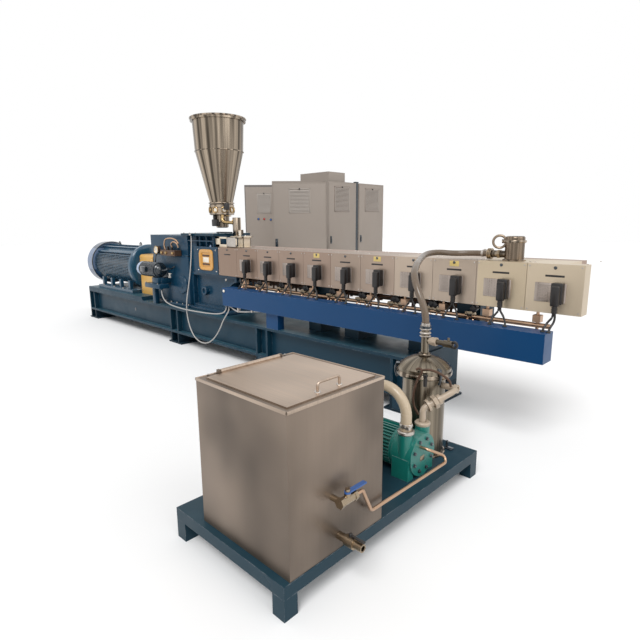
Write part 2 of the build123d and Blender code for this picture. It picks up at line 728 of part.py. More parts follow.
# Seal water pipe along the skid's right edge
with BuildPart() as water_pipe:
    pipe([(pump_x + 50, pump_y - 25, 280), (pump_x + 92, pump_y - 25, 280),
          (3762, -1036, 206), (3762, -1640, 218), (valve_x, valve_back + 40, valve_z),
          (valve_x, valve_back, valve_z)],
         7, [20, 20, 30, 20])
water_pipe.part.label = "water_pipe"
export_step(water_pipe.part, "parts/water_pipe.step")

# Condenser: an upright vessel with a clamped domed lid and a top pipe
with BuildPart() as condenser_body:
    rod((condenser_x, condenser_y, skid_top), (condenser_x, condenser_y, condenser_body_top),
        condenser_radius)
    rod((condenser_x, condenser_y, condenser_body_top - 20),
        (condenser_x, condenser_y, condenser_body_top), condenser_radius + 26)
condenser_body.part.label = "condenser_body"
export_step(condenser_body.part, "parts/condenser_body.step")

with BuildPart() as condenser_lid:
    with BuildSketch(Plane.XZ.offset(-condenser_y)):
        with BuildLine():
            Polyline((condenser_x, stub_top), (condenser_x, condenser_body_top),
                     (condenser_x + condenser_radius + 26, condenser_body_top),
                     (condenser_x + condenser_radius + 26, condenser_body_top + 22))
            ThreePointArc((condenser_x + condenser_radius + 26, condenser_body_top + 22),
                          (condenser_x + 84, condenser_body_top + 58),
                          (condenser_x + 19, condenser_body_top + 74))
            Polyline((condenser_x + 19, condenser_body_top + 74), (condenser_x + 19, stub_top),
                     (condenser_x, stub_top))
        make_face()
    revolve(axis=Axis((condenser_x, condenser_y, 0), (0, 0, 1)))
    rod((condenser_x, condenser_y, 712), (condenser_x + 105, condenser_y, 712), 13)
    rod((condenser_x + 105, condenser_y, 712), (condenser_x + 150, condenser_y, 712), 17)
    rod((condenser_x + 128, condenser_y, 712), (condenser_x + 128, condenser_y, 742), 6)
condenser_lid.part.label = "condenser_lid"
export_step(condenser_lid.part, "parts/condenser_lid.step")

# Control cabinets: shells with doors on the first two, closed boxes for the row behind
cabinets = (
    ("1", -2842.0, 2885.0, 46.2, 2000.0, 800.0),
    ("2", -917.0, 1919.0, 46.2, 1900.0, 810.0),
)
for number, corner_x, corner_y, turn, height, width in cabinets:
    along = (math.cos(math.radians(turn)), math.sin(math.radians(turn)), 0)
    stand = Plane(origin=(corner_x, corner_y, 0), x_dir=along, z_dir=(0, 0, 1))
    hinge_x = width - hinge_inset
    hinge_y = -door_gap - door_thickness / 2
    with BuildPart(stand) as cabinet:
        block(0, width, 0, cabinet_depth, 0, height)
        block(cabinet_wall, width - cabinet_wall, 0, cabinet_depth - cabinet_wall,
              cabinet_wall, height - cabinet_wall, mode=Mode.SUBTRACT)
        for low in (0, height - 15):
            block(hinge_x - 12, hinge_x + hinge_edge, hinge_y - 8, 0, low, low + 15)
            rod((hinge_x, hinge_y, low), (hinge_x, hinge_y, low + 15),
                pin_radius + pin_clearance, mode=Mode.SUBTRACT)
    cabinet.part.label = f"cabinet_{number}"
    export_step(cabinet.part, f"parts/cabinet_{number}.step")
    with BuildPart(stand) as door:
        block(4, hinge_x + hinge_edge, -door_gap - door_thickness, -door_gap, 20, height - 20)
        rod((hinge_x, hinge_y, 2), (hinge_x, hinge_y, height - 2), pin_radius)
    door.part.label = f"cabinet_door_{number}"
    export_step(door.part, f"parts/cabinet_door_{number}.step")

row_face = -1148.0
row_height = 2000.0
row_start_3 = 3390.0
row_start_4 = 4214.0
row_depth = 700.0
top_unit_height = 156.0
top_unit_margin = 3.0
top_unit_length = 688.0
top_unit_width = 434.0
for number, row_start, row_width in (("3", row_start_3, 745.0), ("4", row_start_4, 751.0)):
    with BuildPart() as row_cabinet:
        block(row_face - row_depth, row_face, row_start, row_start + row_width, 0, row_height)
    row_cabinet.part.label = f"cabinet_{number}"
    export_step(row_cabinet.part, f"parts/cabinet_{number}.step")

# The unit that stands on the third cabinet
with BuildPart() as cabinet_top_unit:
    block(row_face - top_unit_margin - top_unit_length, row_face - top_unit_margin,
          row_start_3 + top_unit_margin, row_start_3 + top_unit_margin + top_unit_width,
          row_height, row_height + top_unit_height)
cabinet_top_unit.part.label = "cabinet_top_unit"
export_step(cabinet_top_unit.part, "parts/cabinet_top_unit.step")

for name, route in (("hose", hose_route), ("feeder cable", feeder_route),
                    ("pump cable", pump_route)):
    print(name, "bends", [round(radius) for radius in cord_bends(route)])
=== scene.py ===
# %% [markdown]
# A twin-screw plastic extruder, dressed for a portrait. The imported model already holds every
# piece at its real size, so this lesson adds looks: finishes, hanging cables, louvres, sockets,
# valves, screws and other small fittings. Lengths are written in millimetres, as a maker writes
# them, and `metres` turns them into Blender's unit when a mesh is made.

# %% Load the machine
import json
import math
from itertools import product

import bpy
import numpy as np
from mathutils import Matrix


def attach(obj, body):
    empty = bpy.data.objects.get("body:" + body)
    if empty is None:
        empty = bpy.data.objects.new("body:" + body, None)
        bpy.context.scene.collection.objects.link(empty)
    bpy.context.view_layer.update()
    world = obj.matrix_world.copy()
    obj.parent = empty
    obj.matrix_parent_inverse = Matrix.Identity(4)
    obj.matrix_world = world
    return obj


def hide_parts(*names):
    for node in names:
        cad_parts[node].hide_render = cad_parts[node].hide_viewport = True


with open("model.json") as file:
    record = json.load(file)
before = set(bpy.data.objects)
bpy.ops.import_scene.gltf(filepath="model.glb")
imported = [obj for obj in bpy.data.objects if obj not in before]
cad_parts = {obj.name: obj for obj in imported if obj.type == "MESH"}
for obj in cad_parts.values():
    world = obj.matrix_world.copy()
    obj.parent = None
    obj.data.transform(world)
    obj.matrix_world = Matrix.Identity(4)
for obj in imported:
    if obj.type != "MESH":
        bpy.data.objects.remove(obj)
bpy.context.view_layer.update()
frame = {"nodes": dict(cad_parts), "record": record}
nodes = frame["nodes"]
scene = bpy.context.scene
print("nodes:", len(nodes))

# %% [markdown]
# The camera stands to the right of the machine at eye level of someone leaning forward, and
# looks back along the barrel. Its place and lens were found from straight edges in the
# photograph. Three turns set it: the heading, the tilt below the horizon and a slight roll.

# %% Camera
CAMERA_PLACE = (4.787, -2.971, 1.284)
HEADING = 0.7689
TILT = 0.1957
ROLL = -0.0068
FOCAL_PIXELS = 488.07
PHOTO_PIXELS = 640
SENSOR = 36.0

camera_data = bpy.data.cameras.new("camera")
camera_data.sensor_width = SENSOR
camera_data.sensor_fit = "HORIZONTAL"
camera_data.lens = SENSOR * FOCAL_PIXELS / PHOTO_PIXELS
camera = bpy.data.objects.new("camera", camera_data)
scene.collection.objects.link(camera)
camera.matrix_world = (
    Matrix.Translation(CAMERA_PLACE)
    @ Matrix.Rotation(HEADING, 4, "Z")
    @ Matrix.Rotation(math.pi / 2 - TILT, 4, "X")
    @ Matrix.Rotation(ROLL, 4, "Z")
)
scene.camera = camera

# %% [markdown]
# Three cords hang or lie free: the vacuum hose from the vent to the condenser, the feeder's
# cable in its deep loop in front of the base, and the oil pump's cable along the base's edge.
# Each is one smooth NURBS curve, because a real hose has no corners. A curve of order 3 stays inside
# its control points, so the route's points can be chosen one by one around obstacles.

# %% Cords
HOSE_ROUTE = [
    (3436, -90, 1096), (3338, -90, 1096), (3236, -140, 1091), (3173, -234, 1102),
    (3163, -352, 1097), (3208, -477, 1079), (3274, -602, 1073), (3336, -722, 1065),
    (3390, -828, 1036), (3430, -879, 996), (3471, -907, 944), (3507, -914, 881),
    (3522, -913, 824), (3522, -913, 772),
]
FEEDER_ROUTE = [
    (316, -240, 1168), (316, -240, 1105), (321, -250, 1015), (328, -267, 905),
    (329, -284, 790), (322, -302, 675), (316, -322, 570), (313, -337, 475), (315, -341, 380),
    (340, -343, 288), (388, -346, 204), (457, -349, 140), (550, -350, 108), (655, -350, 108),
    (754, -350, 147), (842, -350, 213), (915, -350, 295), (968, -347, 380), (1008, -338, 436),
    (1030, -327, 470), (1038, -321, 500), (1038, -321, 526),
]
PUMP_ROUTE = [
    (-160, -355, 574), (-160, -355, 538), (-144, -355, 504), (-104, -356, 468),
    (-40, -357, 444), (55, -358, 430), (175, -358, 421), (320, -358, 417), (470, -358, 419),
    (610, -358, 423), (730, -357, 427), (830, -353, 433), (900, -346, 441), (944, -339, 450),
    (972, -331, 464), (990, -325, 486), (996, -321, 508), (996, -321, 526),
]
HOSE_DIAMETER = 36.0
CABLE_DIAMETER = 12.0


def metres(lengths):
    """Millimetres as an array in metres."""
    return np.asarray(lengths, float) / 1000.0


def spline_curve(name, route, diameter):
    """One open NURBS spline with the route's points as its control points."""
    data = bpy.data.curves.new(name, "CURVE")
    data.dimensions = "3D"
    data.bevel_depth = 1.0
    data.bevel_resolution = 5
    data.resolution_u = 8
    data.use_fill_caps = True
    spline = data.splines.new("NURBS")
    spline.points.add(len(route) - 1)
    for point, place in zip(spline.points, metres(route)):
        point.co = (*place, 1.0)
        point.radius = metres(diameter) / 2
    spline.order_u = 3
    spline.use_endpoint_u = True
    cord = bpy.data.objects.new(name, data)
    scene.collection.objects.link(cord)
    return cord


CORDS = (
    ("vacuum_hose_line", "vacuum_hose", HOSE_ROUTE, HOSE_DIAMETER, 1.28, "stiff"),
    ("feeder_cable_line", "feeder_cable", FEEDER_ROUTE, CABLE_DIAMETER, 1.86, "medium"),
    ("pump_cable_line", "pump_cable", PUMP_ROUTE, CABLE_DIAMETER, 1.26, "medium"),
)
cords = {}
for name, node, route, diameter, length, stiffness in CORDS:
    cord = spline_curve(name, route, diameter)
    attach(cord, "machine")
    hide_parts(node)
    cords[node] = cord
print("cords:", sorted(cords))

# %% [markdown]
# Every shader here is built from the same few nodes, so each kind of node has a short function
# that makes it, fills it and returns its output. A value can be a number, a colour or another
# node's output. That keeps a long shader readable as a formula.

# %% Shader nodes
WHITE = (1.0, 1.0, 1.0, 1.0)
FLOAT, COLOR, VECTOR = "NodeSocketFloat", "NodeSocketColor", "NodeSocketVector"


def feed(tree, socket, value):
    """A value for a socket: a link from another node's output, or a number or colour."""
    if isinstance(value, bpy.types.NodeSocket):
        tree.links.new(value, socket)
    else:
        socket.default_value = value


def set_inputs(node, **values):
    """Numbers and colours on a node's inputs, by name, with spaces as underscores."""
    for label, value in values.items():
        node.inputs[label.replace("_", " ")].default_value = value


def math_node(tree, operation, *values, clamp=False):
    """A Math node's output."""
    node = tree.nodes.new("ShaderNodeMath")
    node.operation = operation
    node.use_clamp = clamp
    for socket, value in zip(node.inputs, values):
        feed(tree, socket, value)
    return node.outputs[0]


def vector_node(tree, operation, first, second):
    """A Vector Math node's output; SCALE takes a vector and a number."""
    node = tree.nodes.new("ShaderNodeVectorMath")
    node.operation = operation
    feed(tree, node.inputs[0], first)
    feed(tree, node.inputs["Scale" if operation == "SCALE" else 1], second)
    return node.outputs["Value" if operation == "DOT_PRODUCT" else "Vector"]


def mix_color(tree, factor, first, second):
    """A colour Mix node's output; its colours are the sockets 6 and 7."""
    node = tree.nodes.new("ShaderNodeMix")
    node.data_type = "RGBA"
    for index, value in ((0, factor), (6, first), (7, second)):
        feed(tree, node.inputs[index], value)
    return node.outputs[2]


def noise(tree, vector, scale, detail=3.0, roughness=0.5):
    """A noise texture's value, from 0 to 1."""
    node = tree.nodes.new("ShaderNodeTexNoise")
    set_inputs(node, Detail=detail, Roughness=roughness)
    feed(tree, node.inputs["Scale"], scale)
    tree.links.new(vector, node.inputs["Vector"])
    return node.outputs["Fac"]


def remap(tree, value, low, high, to_low=0.0, to_high=1.0):
    """Value from low to high, carried to a new range and clamped."""
    node = tree.nodes.new("ShaderNodeMapRange")
    tree.links.new(value, node.inputs["Value"])
    set_inputs(node, From_Min=low, From_Max=high, To_Min=to_low, To_Max=to_high)
    return node.outputs["Result"]


def object_place(tree):
    """The place on the object, in metres."""
    return tree.nodes.new("ShaderNodeTexCoord").outputs["Object"]


def split_axes(tree, vector):
    """A vector's outputs X, Y and Z."""
    node = tree.nodes.new("ShaderNodeSeparateXYZ")
    tree.links.new(vector, node.inputs[0])
    return node.outputs


# %% [markdown]
# The studio is plain: a pale floor, an even white world and two soft suns. The world lights
# the machine at half strength, but a camera or glossy ray sees it at full white, so that the
# background is white and polished steel shows that background without more light on the
# paint.

# %% Floor, world and lamps
WORLD_LIGHT = 0.55
KEY_LIGHT = 1.9
FILL_LIGHT = 0.7
FLOOR_SIZE = 60.0
FLOOR_GREY = (0.95, 0.95, 0.95, 1.0)

world = bpy.data.worlds.new("studio")
scene.world = world
world.use_nodes = True
tree = world.node_tree
tree.nodes.clear()
output = tree.nodes.new("ShaderNodeOutputWorld")
mix = tree.nodes.new("ShaderNodeMixShader")
rays = tree.nodes.new("ShaderNodeLightPath").outputs
sharp_rays = math_node(tree, "ADD", rays["Is Camera Ray"], rays["Is Glossy Ray"], clamp=True)
sharp_rays = math_node(tree, "ADD", sharp_rays, rays["Is Transmission Ray"], clamp=True)
tree.links.new(sharp_rays, mix.inputs[0])
for socket, strength in zip(mix.inputs[1:], (WORLD_LIGHT, 1.0)):
    background = tree.nodes.new("ShaderNodeBackground")
    set_inputs(background, Color=WHITE, Strength=strength)
    tree.links.new(background.outputs[0], socket)
tree.links.new(mix.outputs[0], output.inputs["Surface"])


def sun(name, strength, heading, height, spread):
    """A soft sun that shines from a heading and a height, both in degrees."""
    data = bpy.data.lights.new(name, "SUN")
    data.energy = strength
    data.angle = math.radians(spread)
    lamp = bpy.data.objects.new(name, data)
    lamp.rotation_euler = (math.radians(90 - height), 0.0, math.radians(heading))
    scene.collection.objects.link(lamp)


sun("key", KEY_LIGHT, 25, 52, 30)
sun("fill", FILL_LIGHT, 95, 30, 50)
scene.view_settings.view_transform = "Standard"

half = FLOOR_SIZE / 2
floor_mesh = bpy.data.meshes.new("floor")
floor_corners = [(-half, -half, 0), (half, -half, 0), (half, half, 0), (-half, half, 0)]
floor_mesh.from_pydata(floor_corners, [], [(0, 1, 2, 3)])
floor = bpy.data.objects.new("floor", floor_mesh)
scene.collection.objects.link(floor)
floor_paint = bpy.data.materials.new("floor")
floor_paint.use_nodes = True
set_inputs(floor_paint.node_tree.nodes["Principled BSDF"], Base_Color=FLOOR_GREY, Roughness=0.9)
floor_mesh.materials.append(floor_paint)

# %% [markdown]
# Finishes share a few effects, so each effect is a node group with named inputs. `shaded paint` varies
# a colour slowly over a piece and lays a second colour on faces that look up: dust, and on the blue and
# teal paints a lighter tint of the paint that is a painted sheen. `edge wear and glint` compares the
# true normal with a rounded one, which differ only near an edge; the bare colour it lays there is worn
# paint and also a painted edge highlight. `brushed grain` stretches noise along the direction in which
# sheet steel was brushed.

# %% Node groups
def new_group(name, inputs, outputs):
    """An empty shader group with float, colour and vector sockets."""
    group = bpy.data.node_groups.new(name, "ShaderNodeTree")
    for label, kind, value in inputs:
        socket = group.interface.new_socket(label, in_out="INPUT", socket_type=kind)
        socket.default_value = value
    for label, kind in outputs:
        group.interface.new_socket(label, in_out="OUTPUT", socket_type=kind)
    given = group.nodes.new("NodeGroupInput").outputs
    return group, given, group.nodes.new("NodeGroupOutput").inputs


def shaded_paint_group():
    """Slow tone changes over the piece, and a second colour on faces that look up: a dusting, and a
    painted sheen where that colour is a lighter tint of the paint.
    """
    # The Dust inputs lay real dust, and on the blue and teal paints a lighter tint of the paint that is
    # a painted sheen.
    group, given, result = new_group(
        "shaded_paint",
        [("Color", COLOR, WHITE), ("Spread", FLOAT, 0.2), ("Scale", FLOAT, 2.0),
         ("Dust", FLOAT, 0.2), ("Dust Color", COLOR, WHITE)],
        [("Color", COLOR)],
    )
    place = object_place(group)
    shift = math_node(group, "SUBTRACT", noise(group, place, given["Scale"], 4.0, 0.6), 0.5)
    gain = math_node(group, "MULTIPLY_ADD", shift, given["Spread"], 1.0)
    toned = vector_node(group, "SCALE", given["Color"], gain)
    normal = group.nodes.new("ShaderNodeNewGeometry").outputs["Normal"]
    upward = remap(group, split_axes(group, normal)["Z"], 0.75, 1.0)
    patches = remap(group, noise(group, place, 9.0, 5.0, 0.65), 0.35, 0.75, 0.45, 1.0)
    dust_and_sheen_patches = math_node(group, "MULTIPLY", upward, patches)
    dust_and_sheen = math_node(group, "MULTIPLY", dust_and_sheen_patches, given["Dust"])
    color = mix_color(group, dust_and_sheen, toned, given["Dust Color"])
    group.links.new(color, result["Color"])
    return group


def edge_wear_and_glint_group():
    """A mask that is 1 on rubbed edges, which also paint edge highlights: the rounded normal leaves the
    true one there.
    """
    group, given, result = new_group(
        "edge_wear_and_glint", [("Amount", FLOAT, 0.6), ("Scale", FLOAT, 30.0)], [("Mask", FLOAT)]
    )
    rounded = group.nodes.new("ShaderNodeBevel")
    rounded.samples = 4
    set_inputs(rounded, Radius=0.004)
    true_normal = group.nodes.new("ShaderNodeNewGeometry").outputs["Normal"]
    likeness = vector_node(group, "DOT_PRODUCT", rounded.outputs[0], true_normal)
    edge = remap(group, likeness, 0.995, 0.93)
    chips = remap(group, noise(group, object_place(group), given["Scale"], 4.0, 0.7), 0.45, 0.62)
    chipped_and_glinting = math_node(group, "MULTIPLY", edge, chips)
    group.links.new(math_node(group, "MULTIPLY", chipped_and_glinting, given["Amount"]), result["Mask"])
    return group


def brushed_grain_group():
    """Noise stretched by a vector, as long fine streaks, with wide soft bands beneath."""
    group, given, result = new_group(
        "brushed_grain",
        [("Stretch", VECTOR, (1.0, 1.0, 1.0)), ("Bands", VECTOR, (1.0, 1.0, 1.0))],
        [("Grain", FLOAT), ("Band", FLOAT)],
    )
    place = object_place(group)
    for label, detail, target in (("Stretch", 4.0, "Grain"), ("Bands", 2.0, "Band")):
        stretched = vector_node(group, "MULTIPLY", place, given[label])
        group.links.new(noise(group, stretched, 1.0, detail, 0.55), result[target])
    return group


PAINT_GROUP = shaded_paint_group()
WEAR_AND_GLINT_GROUP = edge_wear_and_glint_group()
GRAIN_GROUP = brushed_grain_group()

# %% [markdown]
# Each finish is a short function that places the groups around one Principled shader. Painted steel
# gets tone, dust that on the blue and teal paints is also a painted sheen, worn edges that also paint
# edge highlights, and a faint orange-peel bump. Sheet steel gets grain and bands, and sheet rolled
# about an axis gets streaks that follow the angle round it; on polished and rolled steel the wide bands
# are painted reflections. Plastic and rubber get tone and a fine bump. The covers, the cowl and the
# tank change tone in steps along an axis: these steps are painted light, a painted reflection on the
# covers and the cowl and painted shade on the tank.

# %% Finishes
ALONG_Z = (160.0, 160.0, 3.0)
# Most of a noise's values lie in this range
NOISE_MIDDLE = (0.3, 0.7)
ROUGHER = 0.1
FINE_DEPTH = 0.0004
# Where the axes of the round vessels meet the floor
HOPPER = np.array([532.0, 0.0, 0.0])
VENT = np.array([3598.0, -90.0, 0.0])
CONDENSER = np.array([3522.0, -913.0, 0.0])


def start_material():
    """A material with one Principled shader, and its tree."""
    material = bpy.data.materials.new("finish")
    material.use_nodes = True
    tree = material.node_tree
    return material, tree, tree.nodes["Principled BSDF"]


def place_group(tree, group, **values):
    """A group in a material, with its inputs set by name; its outputs are returned."""
    node = tree.nodes.new("ShaderNodeGroup")
    node.node_tree = group
    set_inputs(node, **values)
    return node.outputs


def bump(tree, shader, height, strength, distance=FINE_DEPTH):
    """A Bump node on the shader's normal."""
    node = tree.nodes.new("ShaderNodeBump")
    set_inputs(node, Strength=strength, Distance=distance)
    tree.links.new(height, node.inputs["Height"])
    tree.links.new(node.outputs[0], shader.inputs["Normal"])


def vary_roughness(tree, shader, value, rough, smoother, span=NOISE_MIDDLE):
    """A roughness that follows a value, from a little under the given one to a little over."""
    varied = remap(tree, value, *span, rough - smoother, rough + ROUGHER)
    tree.links.new(varied, shader.inputs["Roughness"])


def painted(color, rough=0.4, spread=0.35, dust_and_sheen=0.3, dust_and_sheen_color=(0.35, 0.38, 0.4), wear_and_glint=0.5,
            bare_and_glint=(0.32, 0.34, 0.36), coat=0.0, peel=0.15, shine=0.5):
    """Enamel on steel, with tone, a dusting and sheen on top faces, rubbed edges that also paint edge
    highlights, and orange peel.
    """
    material, tree, shader = start_material()
    paint = place_group(tree, PAINT_GROUP, Color=(*color, 1.0), Spread=spread, Scale=1.6,
                        Dust=dust_and_sheen, Dust_Color=(*dust_and_sheen_color, 1.0))
    worn_and_glinting = place_group(tree, WEAR_AND_GLINT_GROUP, Amount=wear_and_glint, Scale=26.0)
    # Edges take the bare colour: worn paint, and also a painted edge highlight.
    base = mix_color(tree, worn_and_glinting["Mask"], paint["Color"], (*bare_and_glint, 1.0))
    tree.links.new(base, shader.inputs["Base Color"])
    place = object_place(tree)
    vary_roughness(tree, shader, noise(tree, place, 5.0, 4.0, 0.6), rough, 0.07)
    set_inputs(shader, Specular_IOR_Level=shine, Coat_Weight=coat, Coat_Roughness=0.15)
    bump(tree, shader, noise(tree, place, 260.0, 2.0), peel, 0.0006)
    return material


def brushed(color, stretch, bands, rough=0.3, contrast=0.35, depth=0.25, sharp=0.18):
    """Brushed or rolled sheet steel: streaks in tone, roughness and height."""
    material, tree, shader = start_material()
    grain = place_group(tree, GRAIN_GROUP, Stretch=stretch, Bands=bands)
    dark = (*(c * (1 - contrast) for c in color), 1.0)
    light = (*(min(1.0, c * (1 + contrast)) for c in color), 1.0)
    tone = mix_color(tree, remap(tree, grain["Band"], 0.5 - sharp, 0.5 + sharp), dark, light)
    fine = remap(tree, grain["Grain"], *NOISE_MIDDLE, 0.86, 1.1)
    tree.links.new(vector_node(tree, "SCALE", tone, fine), shader.inputs["Base Color"])
    set_inputs(shader, Metallic=1.0)
    vary_roughness(tree, shader, grain["Grain"], rough, 0.06)
    bump(tree, shader, grain["Grain"], depth)
    return material


def moulded(color, rough=0.45, spread=0.25, metal=0.0):
    """Plastic, rubber or cast metal with a fine grain."""
    material, tree, shader = start_material()
    tone = place_group(tree, PAINT_GROUP, Color=(*color, 1.0), Spread=spread, Scale=8.0,
                       Dust=0.12, Dust_Color=(0.4, 0.38, 0.35, 1.0))
    tree.links.new(tone["Color"], shader.inputs["Base Color"])
    place = object_place(tree)
    vary_roughness(tree, shader, noise(tree, place, 14.0), rough, 0.08)
    set_inputs(shader, Metallic=metal)
    bump(tree, shader, noise(tree, place, 300.0, 2.0), 0.2)
    return material


def turned_steel(color, centre, rough=0.22, contrast=0.7):
    """Polished sheet rolled about a vertical axis: streaks that follow the angle round it, wide painted
    reflections over a fine grain.
    """
    material, tree, shader = start_material()
    place = split_axes(tree, object_place(tree))
    x, y = (math_node(tree, "SUBTRACT", place[label], middle)
            for label, middle in zip("XY", metres(centre)))
    unrolled = tree.nodes.new("ShaderNodeCombineXYZ")
    tree.links.new(math_node(tree, "ARCTAN2", y, x), unrolled.inputs["X"])
    tree.links.new(math_node(tree, "MULTIPLY", place["Z"], 0.12), unrolled.inputs["Z"])
    # The wide bands round the axis are painted reflections; the fine streaks are grain.
    wide = remap(tree, noise(tree, unrolled.outputs[0], 4.5, 1.0), 0.36, 0.64,
                 1 - contrast, 1 + contrast)
    fine = remap(tree, noise(tree, unrolled.outputs[0], 24.0, 2.0), *NOISE_MIDDLE, 0.82, 1.14)
    tone = vector_node(tree, "SCALE", color, math_node(tree, "MULTIPLY", wide, fine))
    tree.links.new(tone, shader.inputs["Base Color"])
    set_inputs(shader, Metallic=1.0)
    vary_roughness(tree, shader, fine, rough, 0.05, (0.82, 1.14))
    return material


def banded(axis, stops, rough=0.35, metal=0.0, grain=ALONG_Z, coat=0.0, contrast=0.12,
           bands=(1.1, 1.0, 0.6)):
    """A tone that changes in steps along an axis, in metres, under a fine grain."""
    material, tree, shader = start_material()
    place = split_axes(tree, object_place(tree))
    ramp = tree.nodes.new("ShaderNodeValToRGB")
    low, high = stops[0][0], stops[-1][0] + 0.3
    tree.links.new(remap(tree, place[axis], low, high), ramp.inputs["Fac"])
    ramp.color_ramp.interpolation = "CONSTANT"
    while len(ramp.color_ramp.elements) < len(stops):
        ramp.color_ramp.elements.new(1.0)
    for element, (start, color) in zip(ramp.color_ramp.elements, stops):
        element.position = (start - low) / (high - low)
        element.color = (*color, 1.0)
    streaks = place_group(tree, GRAIN_GROUP, Stretch=grain, Bands=bands)
    tone = remap(tree, streaks["Band"], 0.32, 0.68, 1 - contrast, 1 + contrast)
    stepped = vector_node(tree, "SCALE", ramp.outputs["Color"], tone)
    tree.links.new(stepped, shader.inputs["Base Color"])
    set_inputs(shader, Metallic=metal, Coat_Weight=coat)
    vary_roughness(tree, shader, streaks["Grain"], rough, 0.06)
    bump(tree, shader, streaks["Grain"], 0.12)
    return material


# Tones of the covers from each left edge on, a painted reflection; of the cowl from each height on, a
# painted reflection band; and of the tank, a painted shade on its left side
COVER_REFLECTION_TONES = (
    (0.722, (0.30, 0.215, 0.165)), (1.322, (0.33, 0.245, 0.195)), (2.222, (0.36, 0.28, 0.225)),
    (2.822, (0.43, 0.35, 0.28)), (3.422, (0.58, 0.48, 0.345)), (3.722, (0.62, 0.52, 0.39)),
)
COWL_REFLECTION_TONES = (
    (0.45, (0.020, 0.055, 0.12)), (0.676, (0.12, 0.17, 0.27)), (0.96, (0.020, 0.045, 0.085)),
)
TANK_SHADE_TONES = ((3.0, (0.118, 0.086, 0.064)), (3.2405, (0.168, 0.132, 0.104)))

